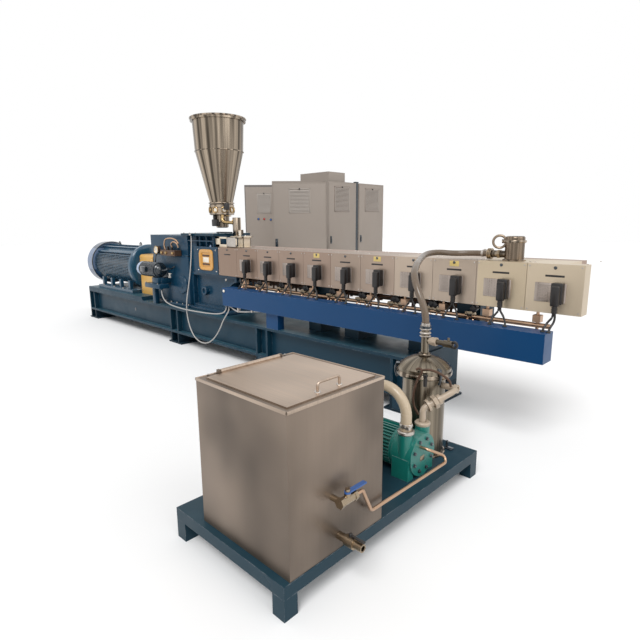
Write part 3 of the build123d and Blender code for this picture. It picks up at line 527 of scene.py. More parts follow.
finishes = {
    # On the blue and teal paints the dust colour is a lighter tint of the paint: with the dust it lays
    # a painted sheen on top faces.
    "teal_paint": painted((0.005, 0.030, 0.052), 0.36, dust_and_sheen=0.8, dust_and_sheen_color=(0.06, 0.145, 0.19),
                          shine=0.22),
    "leg_paint": painted((0.004, 0.016, 0.028), dust_and_sheen=0.15, dust_and_sheen_color=(0.05, 0.09, 0.12),
                         wear_and_glint=0.25, shine=0.15),
    "motor_paint": painted((0.012, 0.060, 0.108), 0.24, dust_and_sheen=0.55, dust_and_sheen_color=(0.20, 0.32, 0.42),
                           coat=0.3, shine=0.35),
    "gear_paint": painted((0.005, 0.038, 0.076), 0.3, dust_and_sheen=0.25, dust_and_sheen_color=(0.10, 0.19, 0.28),
                          coat=0.1, shine=0.25),
    "yellow_paint": painted((0.62, 0.36, 0.09), 0.35, spread=0.15, dust_and_sheen=0.1),
    "black_steel": painted((0.006, 0.014, 0.022), 0.22, dust_and_sheen=0.1, coat=0.6),
    "blue_paint": painted((0.004, 0.048, 0.142), 0.36, spread=0.25, dust_and_sheen=0.25,
                          dust_and_sheen_color=(0.06, 0.13, 0.30), shine=0.22),
    "cream_steel": painted((0.72, 0.62, 0.48), 0.3, spread=0.1, dust_and_sheen=0.1, wear_and_glint=0.2),
    "skid_paint": painted((0.005, 0.030, 0.048), 0.34, dust_and_sheen_color=(0.06, 0.11, 0.14), shine=0.2),
    "green_paint": painted((0.006, 0.16, 0.13), 0.34, dust_and_sheen=0.2, coat=0.3),
    "orange_paint": painted((0.62, 0.31, 0.06), 0.32, spread=0.2, dust_and_sheen=0.1, coat=0.3),
    "cabinet_paint": painted((0.285, 0.245, 0.212), 0.5, spread=0.12, dust_and_sheen=0.1, wear_and_glint=0.15,
                             bare_and_glint=(0.45, 0.42, 0.38), peel=0.25, shine=0.3),
    # A darker copy of the cabinet paint for the first cabinet and its door: painted shade.
    "cabinet_painted_shade": painted((0.175, 0.158, 0.148), 0.5, spread=0.2, dust_and_sheen=0.1, wear_and_glint=0.15,
                             bare_and_glint=(0.4, 0.38, 0.35), peel=0.25, shine=0.3),
    "cabinet_light": painted((0.33, 0.29, 0.255), 0.45, spread=0.1, dust_and_sheen=0.1, wear_and_glint=0.1),
    "bright_steel": brushed((0.42, 0.50, 0.64), (30, 220, 220), (1.0, 5.0, 5.0), 0.22),
    "cover_steel": brushed((0.40, 0.285, 0.225), ALONG_Z, (1.1, 1.0, 0.3), 0.42, 0.16, 0.1),
    # Its strong vertical bands are painted reflections over a fine grain.
    "polished_steel": brushed((0.275, 0.225, 0.175), ALONG_Z, (26.0, 26.0, 0.12), 0.2, 0.66,
                              sharp=0.09),
    # A lighter copy of the tank's steel for its lid: the lighter top is a painted highlight.
    "lid_steel_painted_highlight": brushed((0.50, 0.40, 0.32), (3.0, 170.0, 3.0), (1.6, 1.6, 1.6), 0.36, 0.2, 0.12),
    "plate_steel": brushed((0.42, 0.36, 0.32), ALONG_Z, (6.0, 6.0, 1.0), 0.3, 0.25),
    "hopper_steel": turned_steel((0.25, 0.205, 0.158), HOPPER),
    "vent_steel": turned_steel((0.20, 0.155, 0.115), VENT, contrast=0.3),
    "condenser_steel": turned_steel((0.20, 0.17, 0.13), CONDENSER, 0.28, 0.38),
    # The tank is darker on its left side: painted shade.
    "tank_steel": banded("X", TANK_SHADE_TONES, 0.36, metal=0.7, grain=(3.0, 60.0, 3.0), contrast=0.5,
                         bands=(2.4, 2.4, 1.8)),
    # The cowl's stepped tones are a painted reflection: a pale band from 676 to 960 mm, darker above
    # it.
    "cowl_painted_reflection": banded("Z", COWL_REFLECTION_TONES, 0.3, coat=0.5),
    # The covers' tones, lighter section by section towards the right, are a painted reflection on the
    # steel.
    "cover_painted_reflection": banded("X", COVER_REFLECTION_TONES, 0.4, metal=0.85),
    "brown_steel": moulded((0.10, 0.055, 0.035), 0.4, metal=0.5),
    "dark_steel": moulded((0.10, 0.085, 0.075), 0.4, metal=0.8),
    "black_plastic": moulded((0.012, 0.010, 0.010), 0.38),
    "black_rubber": moulded((0.010, 0.009, 0.009), 0.5),
    "copper": moulded((0.50, 0.33, 0.22), 0.34, metal=1.0),
    "hose_plastic": moulded((0.135, 0.098, 0.068), 0.24),
    "brass_metal": moulded((0.34, 0.27, 0.19), 0.3, metal=1.0),
    "blue_plastic": moulded((0.02, 0.09, 0.3), 0.35),
    "pvc": moulded((0.46, 0.37, 0.26), 0.28),
    "pvc_grey": moulded((0.40, 0.32, 0.24), 0.3),
    "cable_grey": moulded((0.40, 0.385, 0.37), spread=0.1),
    "zinc": moulded((0.50, 0.46, 0.42), 0.3, metal=0.9),
    "pale_plate": moulded((0.78, 0.72, 0.62), 0.35, spread=0.1),
    "label_yellow": moulded((0.62, 0.47, 0.16), 0.4, spread=0.1),
    "red_plastic": moulded((0.45, 0.03, 0.02), 0.3),
    "white_plastic": moulded((0.7, 0.66, 0.6), 0.4),
    "gold_metal": moulded((0.42, 0.29, 0.14), 0.28, metal=1.0),
}
for name, material in finishes.items():
    material.name = name
print("finishes:", len(finishes))

# %% [markdown]
# Every carried-over node takes the finish of its slot in the record. A few nodes share a slot but not a
# shade: the gearbox is bluer than the base, so it has its own paint. Others take painted light: the
# first cabinet and its door a painted shade, the tank lid a painted highlight, and the cowl and the
# covers a painted reflection. The tank's own finish carries a painted shade on its left side.

# %% Finishes on the nodes
slots = {part["node"]: part["material_slot"] for part in frame["record"]["subparts"]}
SHADES = {
    "gearbox_housing": "gear_paint", "gearbox_block": "gear_paint", "gearbox_lid": "teal_paint",
    "lantern_housing": "gear_paint", "motor_cowl": "cowl_painted_reflection", "front_covers": "cover_painted_reflection",
    "top_covers": "cover_painted_reflection", "base_legs": "leg_paint", "tank_lid": "lid_steel_painted_highlight",
    "condenser_body": "condenser_steel", "condenser_lid": "condenser_steel",
    "hopper": "hopper_steel", "vent_stack": "vent_steel", "cabinet_1": "cabinet_painted_shade",
    "cabinet_door_1": "cabinet_painted_shade",
}
for node, thing in nodes.items():
    thing.data.materials.clear()
    thing.data.materials.append(finishes[SHADES.get(node, slots[node])])
for node, cord in cords.items():
    cord.data.materials.append(finishes[slots[node]])

# %% [markdown]
# Small fittings could be modelled one by one with primitives, but most of them are the same few
# forms: a skin through rings of points, a profile turned about an axis, a round section carried
# along a bent line, and a hoop that closes both ways. Each form below works on whole arrays of
# points, so a form costs a few lines, and a row of a hundred bolts is one array operation.

# %% Shapes as arrays
LEFT, RIGHT, FRONT, BACK, DOWN, UP = (-1, 0, 0), (1, 0, 0), (0, -1, 0), (0, 1, 0), (0, 0, -1), (0, 0, 1)


def grid_quads(rows, columns, close_rows=False):
    """Corner numbers of the squares of a grid whose columns, and if asked whose rows, close."""
    index = np.arange(rows * columns).reshape(rows, columns)
    index = np.hstack([index, index[:, :1]])
    if close_rows:
        index = np.vstack([index, index[:1]])
    corners = (index[:-1, :-1], index[:-1, 1:], index[1:, 1:], index[1:, :-1])
    return np.stack(corners, -1).reshape(-1, 4)


def outward(points, quads, ends=()):
    """A shape whose faces point outwards: all are turned when the enclosed volume is negative.

    The volume is a sixth of the sum of each triangle's triple product about the middle.
    """
    faces = quads.tolist() + [list(end) for end in ends]
    fans = [quads[:, [0, 1, 2]], quads[:, [0, 2, 3]]]
    for end in ends:
        fans.append(np.stack([np.full(len(end) - 2, end[0]), end[1:-1], end[2:]], -1))
    a, b, c = (points[np.vstack(fans)] - points.mean(0)).transpose(1, 0, 2)
    if np.einsum("ij,ij->i", a, np.cross(b, c)).sum() < 0:
        faces = [face[::-1] for face in faces]
    return points, faces


def skin(rings):
    """A closed skin through rings of points, levels x sides x 3, with flat ends."""
    rings = np.asarray(rings, float)
    levels, sides = rings.shape[:2]
    first = np.arange(sides)[::-1]
    last = np.arange(sides) + (levels - 1) * sides
    return outward(rings.reshape(-1, 3), grid_quads(levels, sides), (first, last))


def circle(side, other, sides):
    """A round of unit vectors in the plane of two."""
    turn = np.linspace(0.0, 2 * np.pi, sides, endpoint=False)
    return np.cos(turn)[:, None] * side + np.sin(turn)[:, None] * other


def across(axis):
    """An axis as a unit vector, and two unit vectors square to it and to each other."""
    axis = np.asarray(axis, float) / np.linalg.norm(axis)
    side = np.cross(UP if abs(axis[2]) < 0.9 else RIGHT, axis)
    side /= np.linalg.norm(side)
    return axis, side, np.cross(axis, side)


def turned(profile, base, axis, sides=32):
    """A profile of (distance, radius) turned about an axis: base + distance axis + radius ring."""
    axis, side, other = across(axis)
    profile = np.asarray(profile, float)[:, None]
    return skin(np.asarray(base, float) + profile[..., :1] * axis
                + profile[..., 1:] * circle(side, other, sides))


def bar(start, end, radius, sides=24):
    """A round bar with small chamfers between two points."""
    start, end = np.asarray(start, float), np.asarray(end, float)
    length = np.linalg.norm(end - start)
    edge = min(radius, length) * 0.12
    return turned([(0, radius - edge), (edge, radius), (length - edge, radius),
                   (length, radius - edge)], start, end - start, sides)


def nut(base, axis, radius, height):
    """A plain hexagon."""
    return turned([(0, radius), (height, radius)], base, axis, 6)


def hoop(centre, axis, radius, section, sides=32):
    """A closed ring: a section of (distance, height) points carried round a circle."""
    axis, side, other = across(axis)
    section = np.asarray(section, float)[None]
    points = (np.asarray(centre, float) + section[..., :1] * axis
              + (radius + section[..., 1:]) * circle(side, other, sides)[:, None])
    return outward(points.reshape(-1, 3), grid_quads(sides, section.shape[1], True))


def round_section(radius, count=10):
    """A circle as a section for a hoop."""
    return radius * circle(np.array([1.0, 0.0]), np.array([0.0, 1.0]), count)


def strip(half_width, low, high):
    """A rectangle as a section for a hoop."""
    return [(-half_width, low), (-half_width, high), (half_width, high), (half_width, low)]


def slab(low, high, rounding=2.0):
    """A box with rounded edges: a rounded rectangle that grows and shrinks along Z.

    At an angle a from the face, the corner radius is r sin a and the height is r (1 - cos a).
    """
    low, high = np.asarray(low, float), np.asarray(high, float)
    middle, half = (low + high) / 2, (high - low) / 2
    rounding = min(rounding, *(half * 0.98))
    quarter, third = np.divmod(np.arange(12), 3)
    turn = np.radians(quarter * 90.0 + third * 45.0)
    diagonal = np.radians(quarter * 90.0 + 45.0)
    corner = np.sign(np.stack([np.cos(diagonal), np.sin(diagonal)], -1))
    rise = np.radians([12.0, 50.0, 90.0])
    size = rounding * np.concatenate([np.sin(rise), np.sin(rise)[::-1]])
    step = rounding * (1 - np.cos(rise))
    level = np.concatenate([-half[2] + step, half[2] - step[::-1]])
    way = np.stack([np.cos(turn), np.sin(turn)], -1)
    flat = corner * (half[:2] - rounding) + size[:, None, None] * way
    return skin(np.dstack([flat, np.broadcast_to(level[:, None], (6, 12))]) + middle)


def along(points, steps):
    """Points on a smooth line through the given ones: a Catmull-Rom spline."""
    points = np.asarray(points, float)
    padded = np.vstack([2 * points[0] - points[1], points, 2 * points[-1] - points[-2]])[:, None]
    before, here, after, beyond = padded[:-3], padded[1:-2], padded[2:-1], padded[3:]
    t = np.linspace(0.0, 1.0, steps, endpoint=False)[None, :, None]
    line = 0.5 * (2 * here + (after - before) * t
                  + (2 * before - 5 * here + 4 * after - beyond) * t**2
                  + (3 * here - before - 3 * after + beyond) * t**3)
    return np.vstack([line.reshape(-1, 3), points[-1:]])


def wire(points, radius, steps=8, sides=10):
    """A round section carried along a smooth line through the given points."""
    line = along(points, steps)
    run = np.gradient(line, axis=0)
    run /= np.linalg.norm(run, axis=1, keepdims=True)
    side = np.cross(run, (0.37, 0.21, 0.905))
    side /= np.linalg.norm(side, axis=1, keepdims=True)
    return skin(line[:, None] + radius * circle(side[:, None], np.cross(run, side)[:, None], sides))


def joined(shapes):
    """Several shapes as one list of points and faces."""
    starts = np.cumsum([0] + [len(points) for points, faces in shapes])
    faces = [[corner + int(start) for corner in face]
             for start, (points, group) in zip(starts, shapes) for face in group]
    return np.vstack([points for points, group in shapes]), faces


def moved(shape, offset):
    """A shape moved by an offset."""
    return shape[0] + np.asarray(offset, float), shape[1]


def repeated(shape, places):
    """A shape at each of several offsets."""
    return joined([moved(shape, place) for place in places])


def spun(shape, degrees, axes=(0, 1), centre=(0.0, 0.0, 0.0)):
    """A shape turned about a centre, in the plane of two axes, from the first to the second."""
    points = shape[0] - np.asarray(centre, float)
    first, second = points[:, axes[0]].copy(), points[:, axes[1]].copy()
    turn = math.radians(degrees)
    points[:, axes[0]] = first * math.cos(turn) - second * math.sin(turn)
    points[:, axes[1]] = first * math.sin(turn) + second * math.cos(turn)
    return points + np.asarray(centre, float), shape[1]


def border(low, high, width, upright):
    """A rectangular frame of four slabs, across X and an upright axis."""
    slabs = []
    for axis in (upright, 0):
        low_end, high_start = list(high), list(low)
        low_end[axis] = low[axis] + width
        high_start[axis] = high[axis] - width
        slabs += [slab(low, low_end), slab(high_start, high)]
    return joined(slabs)


def spots(xs, ys, zs):
    """Every place that has one of these x, one of these y and one of these z."""
    return list(product(np.atleast_1d(xs), np.atleast_1d(ys), np.atleast_1d(zs)))


def spots_round(centre, radius, turn, axes):
    """Places at angles on a circle about a centre, in the plane of two axes."""
    places = np.tile(np.asarray(centre, float), (len(turn), 1))
    places[:, axes[0]] += radius * np.cos(turn)
    places[:, axes[1]] += radius * np.sin(turn)
    return places


def bolts(places, axis, size=12.0, height=8.0):
    """Hexagon heads on round washers, all along one axis."""
    washer = turned([(0, size), (2, size)], (0, 0, 0), axis, 20)
    head = [(2, size * 0.84), (height - 1.5, size * 0.84), (height, size * 0.62)]
    return repeated(joined([washer, turned(head, (0, 0, 0), axis, 6)]), places)


CREASE = math.radians(34)
pieces = {}


def make_piece(name, finish, *shapes, body="machine"):
    """One object from shapes in millimetres, smooth but for its edges, riding on a body."""
    points, faces = joined(shapes)
    mesh = bpy.data.meshes.new(name)
    mesh.from_pydata(metres(points).tolist(), [], faces)
    mesh.update()
    mesh.shade_smooth()
    mesh.set_sharp_from_angle(angle=CREASE)
    mesh.materials.append(finishes[finish])
    piece = bpy.data.objects.new(name, mesh)
    scene.collection.objects.link(piece)
    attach(piece, body)
    pieces[name] = piece
    return piece


# %% [markdown]
# Each heated section has a terminal: a bright plate with fine vent lines, a black socket and a
# tall plug, from which two wires drop into the tray. Wires between two fixed ends could be
# Bezier curves, but a tube carried along a smooth line through a few points gives the same look
# and stays one array.

# %% Sections, plugs and wires
SECTION = 300.0
FIRST = 722.0
COVER_FRONT = -200.0
TRAY_TOP = 700.0
PLUG_Y = COVER_FRONT - 50.0
lefts = FIRST + SECTION * np.arange(11)
sections = np.outer(lefts, RIGHT)
heated = sections[1:]

plate = slab((50, COVER_FRONT - 6, 852), (216, COVER_FRONT, 958), 2.5)
vent_line = slab((60, COVER_FRONT - 9, 0), (206, COVER_FRONT - 6, 3.5), 1.2)
vent_lines = repeated(vent_line, np.outer(np.arange(862, 950, 9.0), UP))
make_piece("heater_plates", "plate_steel", repeated(joined([plate, vent_lines]), heated))

plug_rib = bar((178, PLUG_Y, 0), (178, PLUG_Y, 5), 15.5, 16)
plug = joined([
    slab((146, COVER_FRONT - 42, 846), (208, COVER_FRONT - 4, 962), 7),
    slab((155, COVER_FRONT - 66, 838), (200, COVER_FRONT - 34, 948), 8),
    bar((178, PLUG_Y, 798), (178, PLUG_Y, 840), 13, 16),
    repeated(plug_rib, np.outer((802, 811, 820, 829), UP)),
])
form = make_piece("heater_sockets", "black_plastic", repeated(plug, heated))
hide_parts("heater_plugs")

# Routes of the plugs' wires, each to the tray's top; the last right one stays short of its end
LEFT_LEAD = [(174, -250, 800), (170, -254, 776), (152, -262, 748), (142, -284, 718), (140, -292)]
RIGHT_LEAD = [(182, -250, 800), (186, -252, 778), (206, -258, 752), (226, -276, 722), (232, -290)]
LAST_LEAD = [(182, -250, 800), (185, -253, 778), (182, -258, 752), (172, -276, 722), (170, -290)]
leads = []
for route, places in ((LEFT_LEAD, heated), (RIGHT_LEAD, heated[:-1]), (LAST_LEAD, heated[-1:])):
    leads.append(repeated(wire(route[:-1] + [(*route[-1], TRAY_TOP - 4)], 6.0), places))
form = make_piece("heater_wires", "black_rubber", *leads)
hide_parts("heater_leads")

grommet = turned([(0, 13), (4, 13), (7, 9)], (0, -290, TRAY_TOP - 1), UP, 16)
entries = np.concatenate([lefts[1:] + 140, lefts[1:-1] + 232, lefts[-1:] + 170])
make_piece("tray_grommets", "black_rubber", repeated(grommet, np.outer(entries, RIGHT)))
print("plugs:", len(heated))

# %% [markdown]
# Under the first eight heated sections, pairs of brass valves with black coils feed cooling
# water to the barrel. The two coils of a pair lean towards opposite sides, so the row looks
# busy and real. One pair is a joined shape, and the row repeats it.

# %% Cooling valves
VALVE_Y = -150.0
brass, stems, coils, copper = [], [], [], []
for lean, x in ((38, 250.0), (-42, 30.0)):
    coil = slab((x - 19, VALVE_Y - 20, 746), (x + 19, VALVE_Y + 20, 784), 5)
    stem = [bar((x, VALVE_Y, 738), (x, VALVE_Y, 792), 7, 14), nut((x, VALVE_Y, 784), UP, 11, 7)]
    for group, shapes in ((coils, [coil]), (stems, stem)):
        group += [spun(shape, lean, (2, 0), (x, VALVE_Y, 724.0)) for shape in shapes]
    brass += [slab((x - 17, VALVE_Y - 15, 706), (x + 17, VALVE_Y + 15, 738), 3)]
    brass += [nut((end, VALVE_Y, 720), RIGHT, 17, 14) for end in (x - 31, x + 17)]
    copper += [wire([(x - 12, VALVE_Y - 6, 700), (x - 10, VALVE_Y - 26, 676),
                     (x + 14, VALVE_Y - 34, 672), (x + 30, VALVE_Y - 18, 690)], 6.5)]
for name, finish, shapes in (
        ("cooling_valves", "brass_metal", brass), ("cooling_valve_stems", "zinc", stems),
        ("cooling_coils", "black_plastic", coils), ("cooling_tubes", "copper", copper)):
    make_piece(name, finish, repeated(joined(shapes), heated[:8]))
riser = bar((0, -66, 702), (0, -66, 792), 9, 12)
back_riser = bar((0, 20, 702), (0, 20, 792), 12, 12)
make_piece("cooling_risers", "brown_steel",
           repeated(riser, np.outer(np.arange(1090.0, 3250.0, 150.0), RIGHT)),
           repeated(back_riser, np.outer(np.arange(1150.0, 3250.0, 100.0), RIGHT)))
make_piece("cooling_mains", "brown_steel", bar((1050, -66, 752), (3240, -66, 752), 13, 16),
           bar((1050, 20, 728), (3240, 20, 728), 18, 16))

# %% [markdown]
# The covers carry a finger slot and a catch on every section, screws along the edges and a few
# bare identity plates. They are flush fittings a millimetre or two high, which catch light at
# their edges.

# %% Cover fittings
front_screws = bolts(spots((14, 284), COVER_FRONT, (804, 1046)), FRONT, 5.0, 3.5)
top_screws = bolts([(x, y, 1060) for y in (-120, 120) for x in (14, 284)], UP, 5.5, 4.0)
for name, finish, shape, places in (
        ("cover_slots", "black_plastic",
         slab((100, COVER_FRONT - 1.5, 990), (200, COVER_FRONT + 2, 1001), 1.4), sections),
        ("cover_catches", "black_steel",
         turned([(0, 9), (3, 9), (6, 6)], (150, COVER_FRONT, 1040), FRONT, 20), sections),
        ("cover_screws", "zinc", front_screws, sections),
        ("cover_top_screws", "zinc", top_screws, sections),
        ("cover_plates", "label_yellow",
         slab((118, COVER_FRONT - 1.2, 1016), (182, COVER_FRONT, 1050), 0.6), sections[[4, 6, 8]])):
    make_piece(name, finish, repeated(shape, places))
print("cover fittings on", len(sections), "sections")

# %% [markdown]
# Some large pieces have more form than their solids, so this scene makes them again in the same
# place: the ribbed motor, the folded guard, the stepped gearbox, the open-sided pedestal and the
# feeder. A ribbed round body is one ring of points whose radius steps out at each rib, carried
# along the axis. That is lighter and truer than a Boolean per rib.

# %% Drive end and feeder forms
MOTOR_Z = 763.0
PUMP = np.array([3622.0, -1142.0, 232.0])


def rib_ring(centre, root, tip, low, high, step, half_width, broad=()):
    """Points round the X axis, both sides alike: fins from one elevation to another.

    Broad ribs stand at further elevations, each two and a half times as wide as a fin.
    """
    fins = np.arange(low, high, step)
    middles = np.concatenate([fins, broad])
    widths = np.where(np.arange(len(middles)) < len(fins), half_width, 2.5 * half_width)
    side = (middles[:, None] + widths[:, None] * np.array([-1.15, -1.0, 1.0, 1.15])).ravel()
    reach = np.tile([root, tip, tip, root], len(middles))
    turn = np.radians(np.concatenate([side, 180.0 - side[::-1]]))
    radius = np.concatenate([reach, reach[::-1]])
    return np.stack([radius * np.cos(turn) + centre[0], radius * np.sin(turn) + centre[1]], -1)


def carried(section, places):
    """A YZ section at several places along X, closed into a skin."""
    return skin([np.column_stack([np.full(len(section), x), section]) for x in places])


def arch(half, top, corner, bottom):
    """The outside of a sheet folded over: two walls, a roof and rounded corners, in YZ."""
    turn = np.radians(np.linspace(0.0, 90.0, 7))
    y, z = half - corner * (1 - np.cos(turn)), top - corner * (1 - np.sin(turn))
    return np.array([(half, bottom), *zip(y, z), *zip(-y[::-1], z[::-1]), (-half, bottom)])


def pedestal_side(inset, y):
    """The pedestal's outline at a y, set in by a distance; its right side sweeps in to the foot."""
    turn = np.radians(np.linspace(0.0, 90.0, 9))
    x = 782 + 195 * (1 - np.cos(turn)) - inset
    z = 425 + inset + (305 - inset) * np.sin(turn)
    corners = [(977 - inset, 790 - inset), (192 + inset, 790 - inset), (192 + inset, 425 + inset)]
    return np.array([(x, y, z) for x, z in [*zip(x, z), *corners]])


motor_ring = rib_ring((0.0, MOTOR_Z), 226, 256, -58, 33, 4.5, 0.8, (42.0, 66.0, 88.0))
bell = [(0, 258), (10, 275), (58, 275), (76, 262), (88, 226), (92, 130), (92, 72), (104, 70),
        (104, 40), (547, 40)]
form = make_piece("motor_ribs", "motor_paint", carried(motor_ring, (-2180.0, -1125.0)),
                  turned(bell, (-1127, 0, MOTOR_Z), RIGHT, 96))
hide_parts("motor_body")

guard_section = np.vstack([arch(160, 924, 36, 441), arch(155, 919, 31, 441)[::-1]])
form = make_piece("folded_guard", "yellow_paint", carried(guard_section, (-1019.0, -689.0)))
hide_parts("coupling_guard")

form = make_piece(
    "stepped_gearbox", "gear_paint",
    slab((-578, -239, 397), (182, 239, 427), 5), slab((-578, -215, 425), (182, 215, 950), 14),
    slab((180, -175, 790), (304, 175, 1168), 8), slab((302, -155, 1058), (697, 155, 1168), 8),
    slab((182, -205, 1110), (640, 205, 1122), 3),
    *[slab((x - 7, -195, 1060), (x + 7, 195, 1166), 4) for x in (396.0, 516.0, 636.0)])
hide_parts("gearbox_housing")

# The pedestal: a thin web with a wide rim round it, on a foot
rim = np.stack([pedestal_side(inset, y) for inset, y in
                ((0.0, -180.0), (0.0, 180.0), (26.0, 180.0), (26.0, -180.0))], 1)
form = make_piece(
    "open_pedestal", "gear_paint",
    outward(rim.reshape(-1, 3), grid_quads(len(rim), 4, True)),
    skin([pedestal_side(0.0, y) for y in (-134.0, 134.0)]),
    slab((192, -225, 397), (872, 225, 426), 4),
    turned([(0, 46), (42, 46), (46, 42), (46, 28), (30, 24)], (400, -132, 600), FRONT, 40))
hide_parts("feed_pedestal")

# The feeder: a ring with sight holes, its drive below, a chute and a square throat
DRUM = [(1372, 112), (1378, 124), (1396, 124), (1400, 119), (1444, 119), (1448, 124),
        (1474, 124), (1480, 116)]
FEEDER_DRIVE = [(1245, 46), (1251, 62), (1300, 62), (1306, 72), (1368, 72), (1376, 66)]
form = make_piece("feeder_drum", "polished_steel", turned(DRUM, HOPPER, UP, 80),
                  turned(FEEDER_DRIVE, HOPPER, UP, 56))
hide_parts("feeder_neck")
form = make_piece("chute_box", "polished_steel", slab((745, -30, 1163), (805, 30, 1345), 5),
                  slab((800, -24, 1180), (850, 24, 1226), 4))
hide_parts("feed_chute")
form = make_piece(
    "throat_walls", "cream_steel",
    *[slab((839, side - 4, 1058), (929, side + 4, 1165), 1.5) for side in (-41.0, 41.0)],
    *[slab((x - 4, -45, 1058), (x + 4, 45, 1165), 1.5) for x in (843.0, 925.0)],
    slab((825, -59, 1151), (943, -43, 1165)), slab((825, 43, 1151), (943, 59, 1165)),
    slab((740, -59, 1151), (847, 59, 1163)), slab((921, -59, 1151), (943, 59, 1165)),
    slab((778, -84, 1059), (946, -40, 1063), 1), slab((778, 40, 1059), (946, 84, 1063), 1),
    slab((778, -84, 1059), (842, 84, 1063), 1), slab((926, -84, 1059), (946, 84, 1063), 1))
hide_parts("feed_throat")
form = make_piece(
    "feed_frame", "cream_steel",
    slab((650, -172, 1060), (716, -160, 1160)), slab((831, -172, 1060), (985, -160, 1160)),
    slab((650, -172, 1060), (985, -160, 1089)), slab((650, -172, 1143), (985, -160, 1160)))
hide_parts("feed_bracket")

pump_ring = rib_ring((PUMP[1], 240.0), 84, 99, -70, 89, 9.5, 1.5)
form = make_piece(
    "pump_motor_ribs", "green_paint", carried(pump_ring, (3292.0, 3545.0)),
    turned([(0, 60), (4, 92), (24, 98), (32, 98)], (3268, PUMP[1], 240), RIGHT, 48),
    turned([(0, 94), (18, 94), (20, 60)], (3542, PUMP[1], 240), RIGHT, 48))
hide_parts("pump_motor")
print("pieces with the large forms:", len(pieces))

# %% [markdown]
# The drive end. The motor has a dark joint ring behind its cowl, two eyes for lifting and
# bolts on its bell and feet, the guard has screws, and the gearbox has a bolted ledge, an oil
# gauge, hoses on its valve block and a lubricating pump with a bright end ring.

# %% Motor, guard and gearbox fittings
GEAR_FRONT = -215.0
GAUGE_X = -430
OIL_Y, OIL_Z = -330.0, 790.0

make_piece("motor_joint_ring", "black_steel",
           hoop((-2186, 0, MOTOR_Z), RIGHT, 284, strip(9, -4, 5), 96))
make_piece("motor_eyes", "black_steel", *[
    hoop((x, 0, MOTOR_Z + 270), BACK, 22, round_section(7), 28) for x in (-1900.0, -1290.0)])
bell_turn = np.radians(np.arange(0, 360, 30.0) + 15)
make_piece("motor_bell_bolts", "black_steel",
           bolts(spots_round((-1120, 0, MOTOR_Z), 262, bell_turn, (1, 2)), LEFT, 11, 12))
cap_turn = np.radians(np.arange(0, 360, 60.0))
cap_spots = spots_round((60, GEAR_FRONT - 11, 640), 82, cap_turn, (0, 2))
make_piece("gearbox_cap_bolts", "gear_paint", bolts(cap_spots, FRONT, 7, 7))
make_piece("gearbox_caps", "gear_paint", turned(
    [(0, 96), (10, 96), (18, 88), (18, 40), (24, 34)], (60, GEAR_FRONT, 640), FRONT, 48))

# Rows of bolts: their x, y and z, the way they face, and a head's size and height
BOLT_ROWS = {
    "motor_foot_bolts": ((-1930, -1610, -1350), (-252, 252), 483, UP, 12, 14, "zinc"),
    "guard_screws": ((-990, -718), -160, (480, 700, 872), FRONT, 7, 5, "zinc"),
    "gearbox_ledge_bolts": ((-540, -390, 110, 150), -203, 950, UP, 9, 12, "gear_paint"),
    "gearbox_foot_bolts": (np.arange(-550, 180, 120), (-228, 228), 427, UP, 9, 14, "zinc"),
    "gearbox_lid_bolts": (np.arange(120, 690, 110), (-205, 205), 1190, UP, 8, 8, "zinc"),
    "oil_pump_bolts": ((-455, -330, -190), OIL_Y - 50, 640, UP, 8, 9, "zinc"),
    "lantern_screws": ((372, 690), -205, (822, 1030), FRONT, 7, 6, "zinc"),
    "throat_bolts": ((833, 935), (-51, 51), 1165, UP, 5, 5, "zinc"),
    "tank_lug_screws": (3247, (-1990, -1910, -1690, -1600), 723, UP, 5, 4, "zinc"),
}
for name, (xs, ys, zs, way, size, height, finish) in BOLT_ROWS.items():
    make_piece(name, finish, bolts(spots(xs, ys, zs), way, size, height))

# The gauge, its tube and the hoses on the valve block
make_piece("gauge_rim", "gold_metal",
           hoop((GAUGE_X, GEAR_FRONT - 31, 1000), BACK, 42, round_section(5), 40))
make_piece("gauge_face", "pale_plate",
           turned([(0, 39), (1.5, 39)], (GAUGE_X, GEAR_FRONT - 30, 1000), FRONT, 40))
make_piece("gauge_hand", "black_plastic", slab(
    (GAUGE_X - 3, GEAR_FRONT - 33, 998), (GAUGE_X + 3, GEAR_FRONT - 31.5, 1028), 0.7))
make_piece("gauge_tube", "black_rubber", wire(
    [(-430, -236, 962), (-434, -250, 930), (-424, -262, 890), (-432, -262, 850),
     (-430, -250, 806)], 6))
make_piece(
    "valve_hoses", "copper",
    wire([(-205, -251, 1008), (-212, -258, 1060), (-186, -262, 1112), (-130, -262, 1132),
          (-40, -258, 1134), (30, -250, 1116), (60, -242, 1080)], 8),
    wire([(-60, -251, 1040), (-52, -264, 1078), (0, -266, 1100), (52, -258, 1082),
          (62, -246, 1040)], 8))
make_piece("valve_block_caps", "black_plastic", *[
    bar((x, -251, 1008), (x, -251, 1048), 15, 18) for x in (-230, -150, -70)])
make_piece("valve_block_plugs", "gold_metal", *[
    turned([(0, 17), (10, 17), (14, 11)], (x, -294, 980), FRONT, 6) for x in (-210, -120, 20)])

